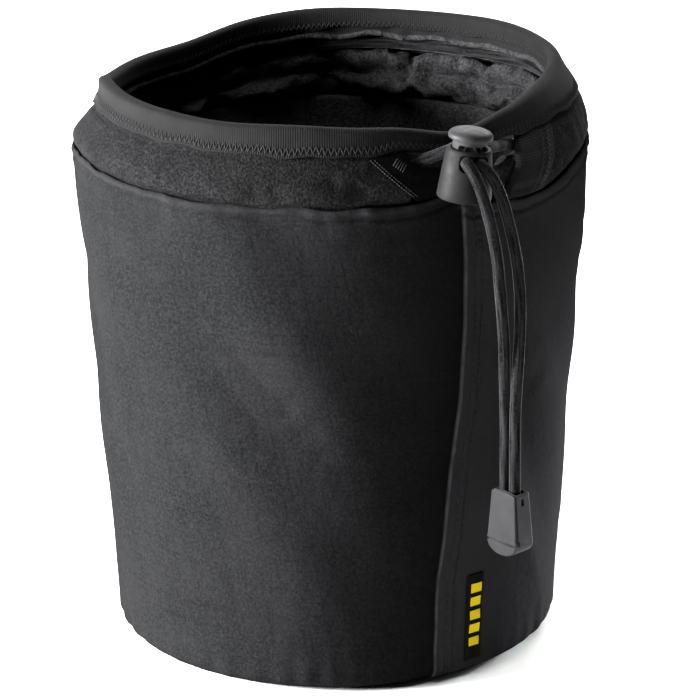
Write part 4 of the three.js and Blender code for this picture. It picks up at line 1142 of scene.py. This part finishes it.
def lock():
    barrel = turned("lock_housing", [
        (7.6, -13.8), (8.5, -13.7), (8.95, -13.4), (9.1, -12.8), (8.9, -10.2), (8.6, -7.0), (8.3, -3.8),
        (7.95, -0.5), (7.65, 2.3), (7.5, 3.1), (7.2, 3.5), (6.8, 3.6), (6.3, 3.55), (6.0, 3.3), (6.0, -12.3),
    ])
    carve(barrel, block("slot_cutter", (9.6, 30.0, 5.5), (0.0, 0.0, -0.35), 1.6, 5))
    ease_edges(barrel, 0.18, 2, 50.0)
    barrel.data.transform(LOCK_FRAME)
    finish_piece(barrel, LOCK_PLASTIC, ["lock_barrel"], 35, "cord_lock")

    plunger = turned("lock_button", [
        (5.4, -4.3), (5.7, -4.0), (5.7, 6.6), (6.9, 6.62), (7.25, 6.8), (7.4, 7.15), (7.42, 7.7), (7.32, 8.2),
        (7.0, 8.7), (6.5, 9.1), (5.6, 9.5), (4.3, 9.9), (2.7, 10.2), (1.3, 10.35), (0.3, 10.4),
    ])
    carve(plunger, block("stem_cutter", (9.4, 20.0, 7.4), (0.0, 0.0, 1.4), 0.8, 3))
    ease_edges(plunger, 0.12, 2, 60.0)
    plunger.data.transform(LOCK_FRAME)
    finish_piece(plunger, LIT_BUTTON_PLASTIC, ["lock_plunger"], 35, "lock_plunger")


def spring():
    """The wire under the button, which shortens when the button is pressed."""
    foot, head = -11.5, -5.1
    share = np.linspace(0.0, 1.0, 169)
    turn = 2 * math.pi * 3.5 * share
    coil = stacked(3.4 * np.cos(turn), 3.4 * np.sin(turn), foot + (head - foot) * share)
    line = np.array([LOCK_FRAME @ Vector(point) for point in coil]) * 1000.0
    piece = tube_along("lock_spring_wire", line, 0.45, 10)
    finish_piece(piece, STEEL, ["lock_spring"], body=None)
    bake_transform(piece)


def hinge_rod(name, radius, width):
    """The rod that the lid turns on."""
    piece = added(
        name, bpy.ops.mesh.primitive_cylinder_add, vertices=32, radius=radius, depth=width,
        location=(0.0, -3.454, -17.6), rotation=(0.0, math.pi / 2, 0.0),
    )
    bpy.ops.object.transform_apply(location=True, rotation=True, scale=True)
    return piece


def wedge(name):
    """The cord end's outside: an upright disc whose top is drawn up into a straight, narrower neck."""
    wide, shoulder, round_depth = 6.85, -18.6, 4.4
    piece = disc(name, wide, 64, rotation=(math.pi / 2, 0.0, 0.0))
    bpy.ops.object.transform_apply(location=False, rotation=True, scale=False)
    for vertex in piece.data.vertices:
        x, z = vertex.co.x, vertex.co.z
        if z > -1e-4:
            share = z / wide
            across = x * 3.0 if abs(x) < 1.0 else math.copysign(min(abs(x) * 3.0, wide - 1.35 * share), x)
            vertex.co = (across, 0.0, shoulder - shoulder * share)
        else:
            vertex.co = (x, 0.0, shoulder + z * round_depth / wide)
    with editing(piece):
        bpy.ops.transform.translate(value=(0.0, -4.5, 0.0))
        bpy.ops.mesh.extrude_region_move(TRANSFORM_OT_translate={"value": (0.0, 9.0, 0.0)})
    for vertex in piece.data.vertices:
        vertex.co.y *= (6.9 - 2.1 * vertex.co.z / 23.0) / 9.0
    tidy_faces(piece, join=1e-4)
    return piece


def cord_end():
    body = wedge("cord_end_shell")
    ease_edges(body, 0.55, 4, 40.0)
    lid = wedge("cord_end_cover")
    ease_edges(lid, 0.55, 4, 40.0)
    carve(body, block("lid_room", (30.0, 3.7, 20.35), (0.0, -4.6, -7.425)))
    carve(body, block("hinge_slot", (30.0, 3.0, 1.75), (0.0, -4.954, -17.975)))
    carve(body, hinge_rod("hinge_room", 1.25, 30.0))
    carve(body, block("cord_room", (9.6, 4.6, 17.5), (0.0, 0.0, -6.8), 0.6, 3))
    carve(body, block("catch_slot", (40.0, 1.2, 2.4), (0.0, 0.15, -3.5), 0.2, 2))
    carve(lid, block("lid_form", (30.0, 2.75, 19.6), (0.0, -4.575, -7.8)), "INTERSECT")
    carve(lid, hinge_rod("lid_rod", 0.8, 13.35), "UNION")
    for piece in (body, lid):
        ease_edges(piece, 0.12, 2, 55.0)
        piece.data.transform(END_FRAME)
    finish_piece(body, SIDE_LIT_PLASTIC, ["cord_end_body"], 35, "cord_end")
    # Painted light: the body's faces that face front take the darker plastic, the rest keep the lighter copy.
    front = (END_FRAME.to_3x3() @ Vector((0.0, -1.0, 0.0))).normalized()
    body.data.materials.append(END_PLASTIC[0])
    for face in body.data.polygons:
        face.material_index = int(face.normal.dot(front) > 0.55)
    finish_piece(lid, END_PLASTIC, ["cord_end_lid"], 35, "cord_end_lid")
    return body, lid


shell()
seam_stitches()
base_cover()
wall_layers()
lining_roll()
floor_lining()
floor_foam()
collar_band()
channel_facing()
rim_binding()
binding_stitches()
end_tapes()
tape_stitches()
flap_stitches()
bar_tack()
label()
lock()
spring()
end_body, end_lid = cord_end()

# CAD nodes that stay, with better materials
for node, material in (("base_stiffener", BOARD), ("cord_tip_left", CORD[0]), ("cord_tip_right", CORD[0])):
    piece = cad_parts[node]
    piece.data.materials.clear()
    piece.data.materials.append(material)


# Studio: pale floor, soft light
def softbox(name, azimuth, reach, height, size, power, aim, spread=180.0):
    """A round soft light at that azimuth, seen from above as the camera's is, aimed at a point."""
    turn = math.radians(azimuth)
    place = Vector((reach * math.sin(turn), -reach * math.cos(turn), height))
    lamp = added(name, bpy.ops.object.light_add, type="AREA", location=place)
    lamp.data.shape = "DISK"
    lamp.data.size = size
    lamp.data.energy = power
    lamp.data.spread = math.radians(spread)
    lamp.rotation_euler = (Vector(aim) - place).to_track_quat("-Z", "Y").to_euler()


def studio():
    floor = added("studio_floor", bpy.ops.mesh.primitive_plane_add, size=7.0, location=(0.0, 0.0, -0.0004))
    paper = Shader("studio_paper", (0.92, 0.92, 0.92), 0.95, Specular_IOR_Level=0.1)
    floor.data.materials.append(paper.material)
    softbox("back_light", 140.0, 1.2, 1.0, 1.4, 50.0, (0.3, 0.45, 0.0))
    softbox("key_light", -108.0, 1.3, 0.36, 0.5, 190.0, (0.0, 0.0, 0.12))
    softbox("edge_light", 100.0, 0.5, 0.04, 0.08, 0.9, (0.08, 0.0, 0.04), 32.0)
    softbox("top_light", -60.0, 0.5, 1.6, 0.6, 14.0, (0.0, 0.0, 0.2))
    for side in range(4):
        azimuth = 90.0 * side + 45.0
        turn = math.radians(azimuth)
        aim = (3.0 * math.sin(turn), -3.0 * math.cos(turn), 0.0)
        softbox("floor_light_%d" % side, azimuth, 3.0, 2.4, 2.6, 90.0, aim, 70.0)
    world = bpy.data.worlds.new("studio_sky")
    bpy.context.scene.world = world
    world.use_nodes = True
    sky = world.node_tree.nodes["Background"].inputs
    sky[0].default_value, sky[1].default_value = (1.0, 1.0, 1.0, 1.0), 0.02
    bpy.context.scene.view_settings.view_transform = "Standard"


studio()
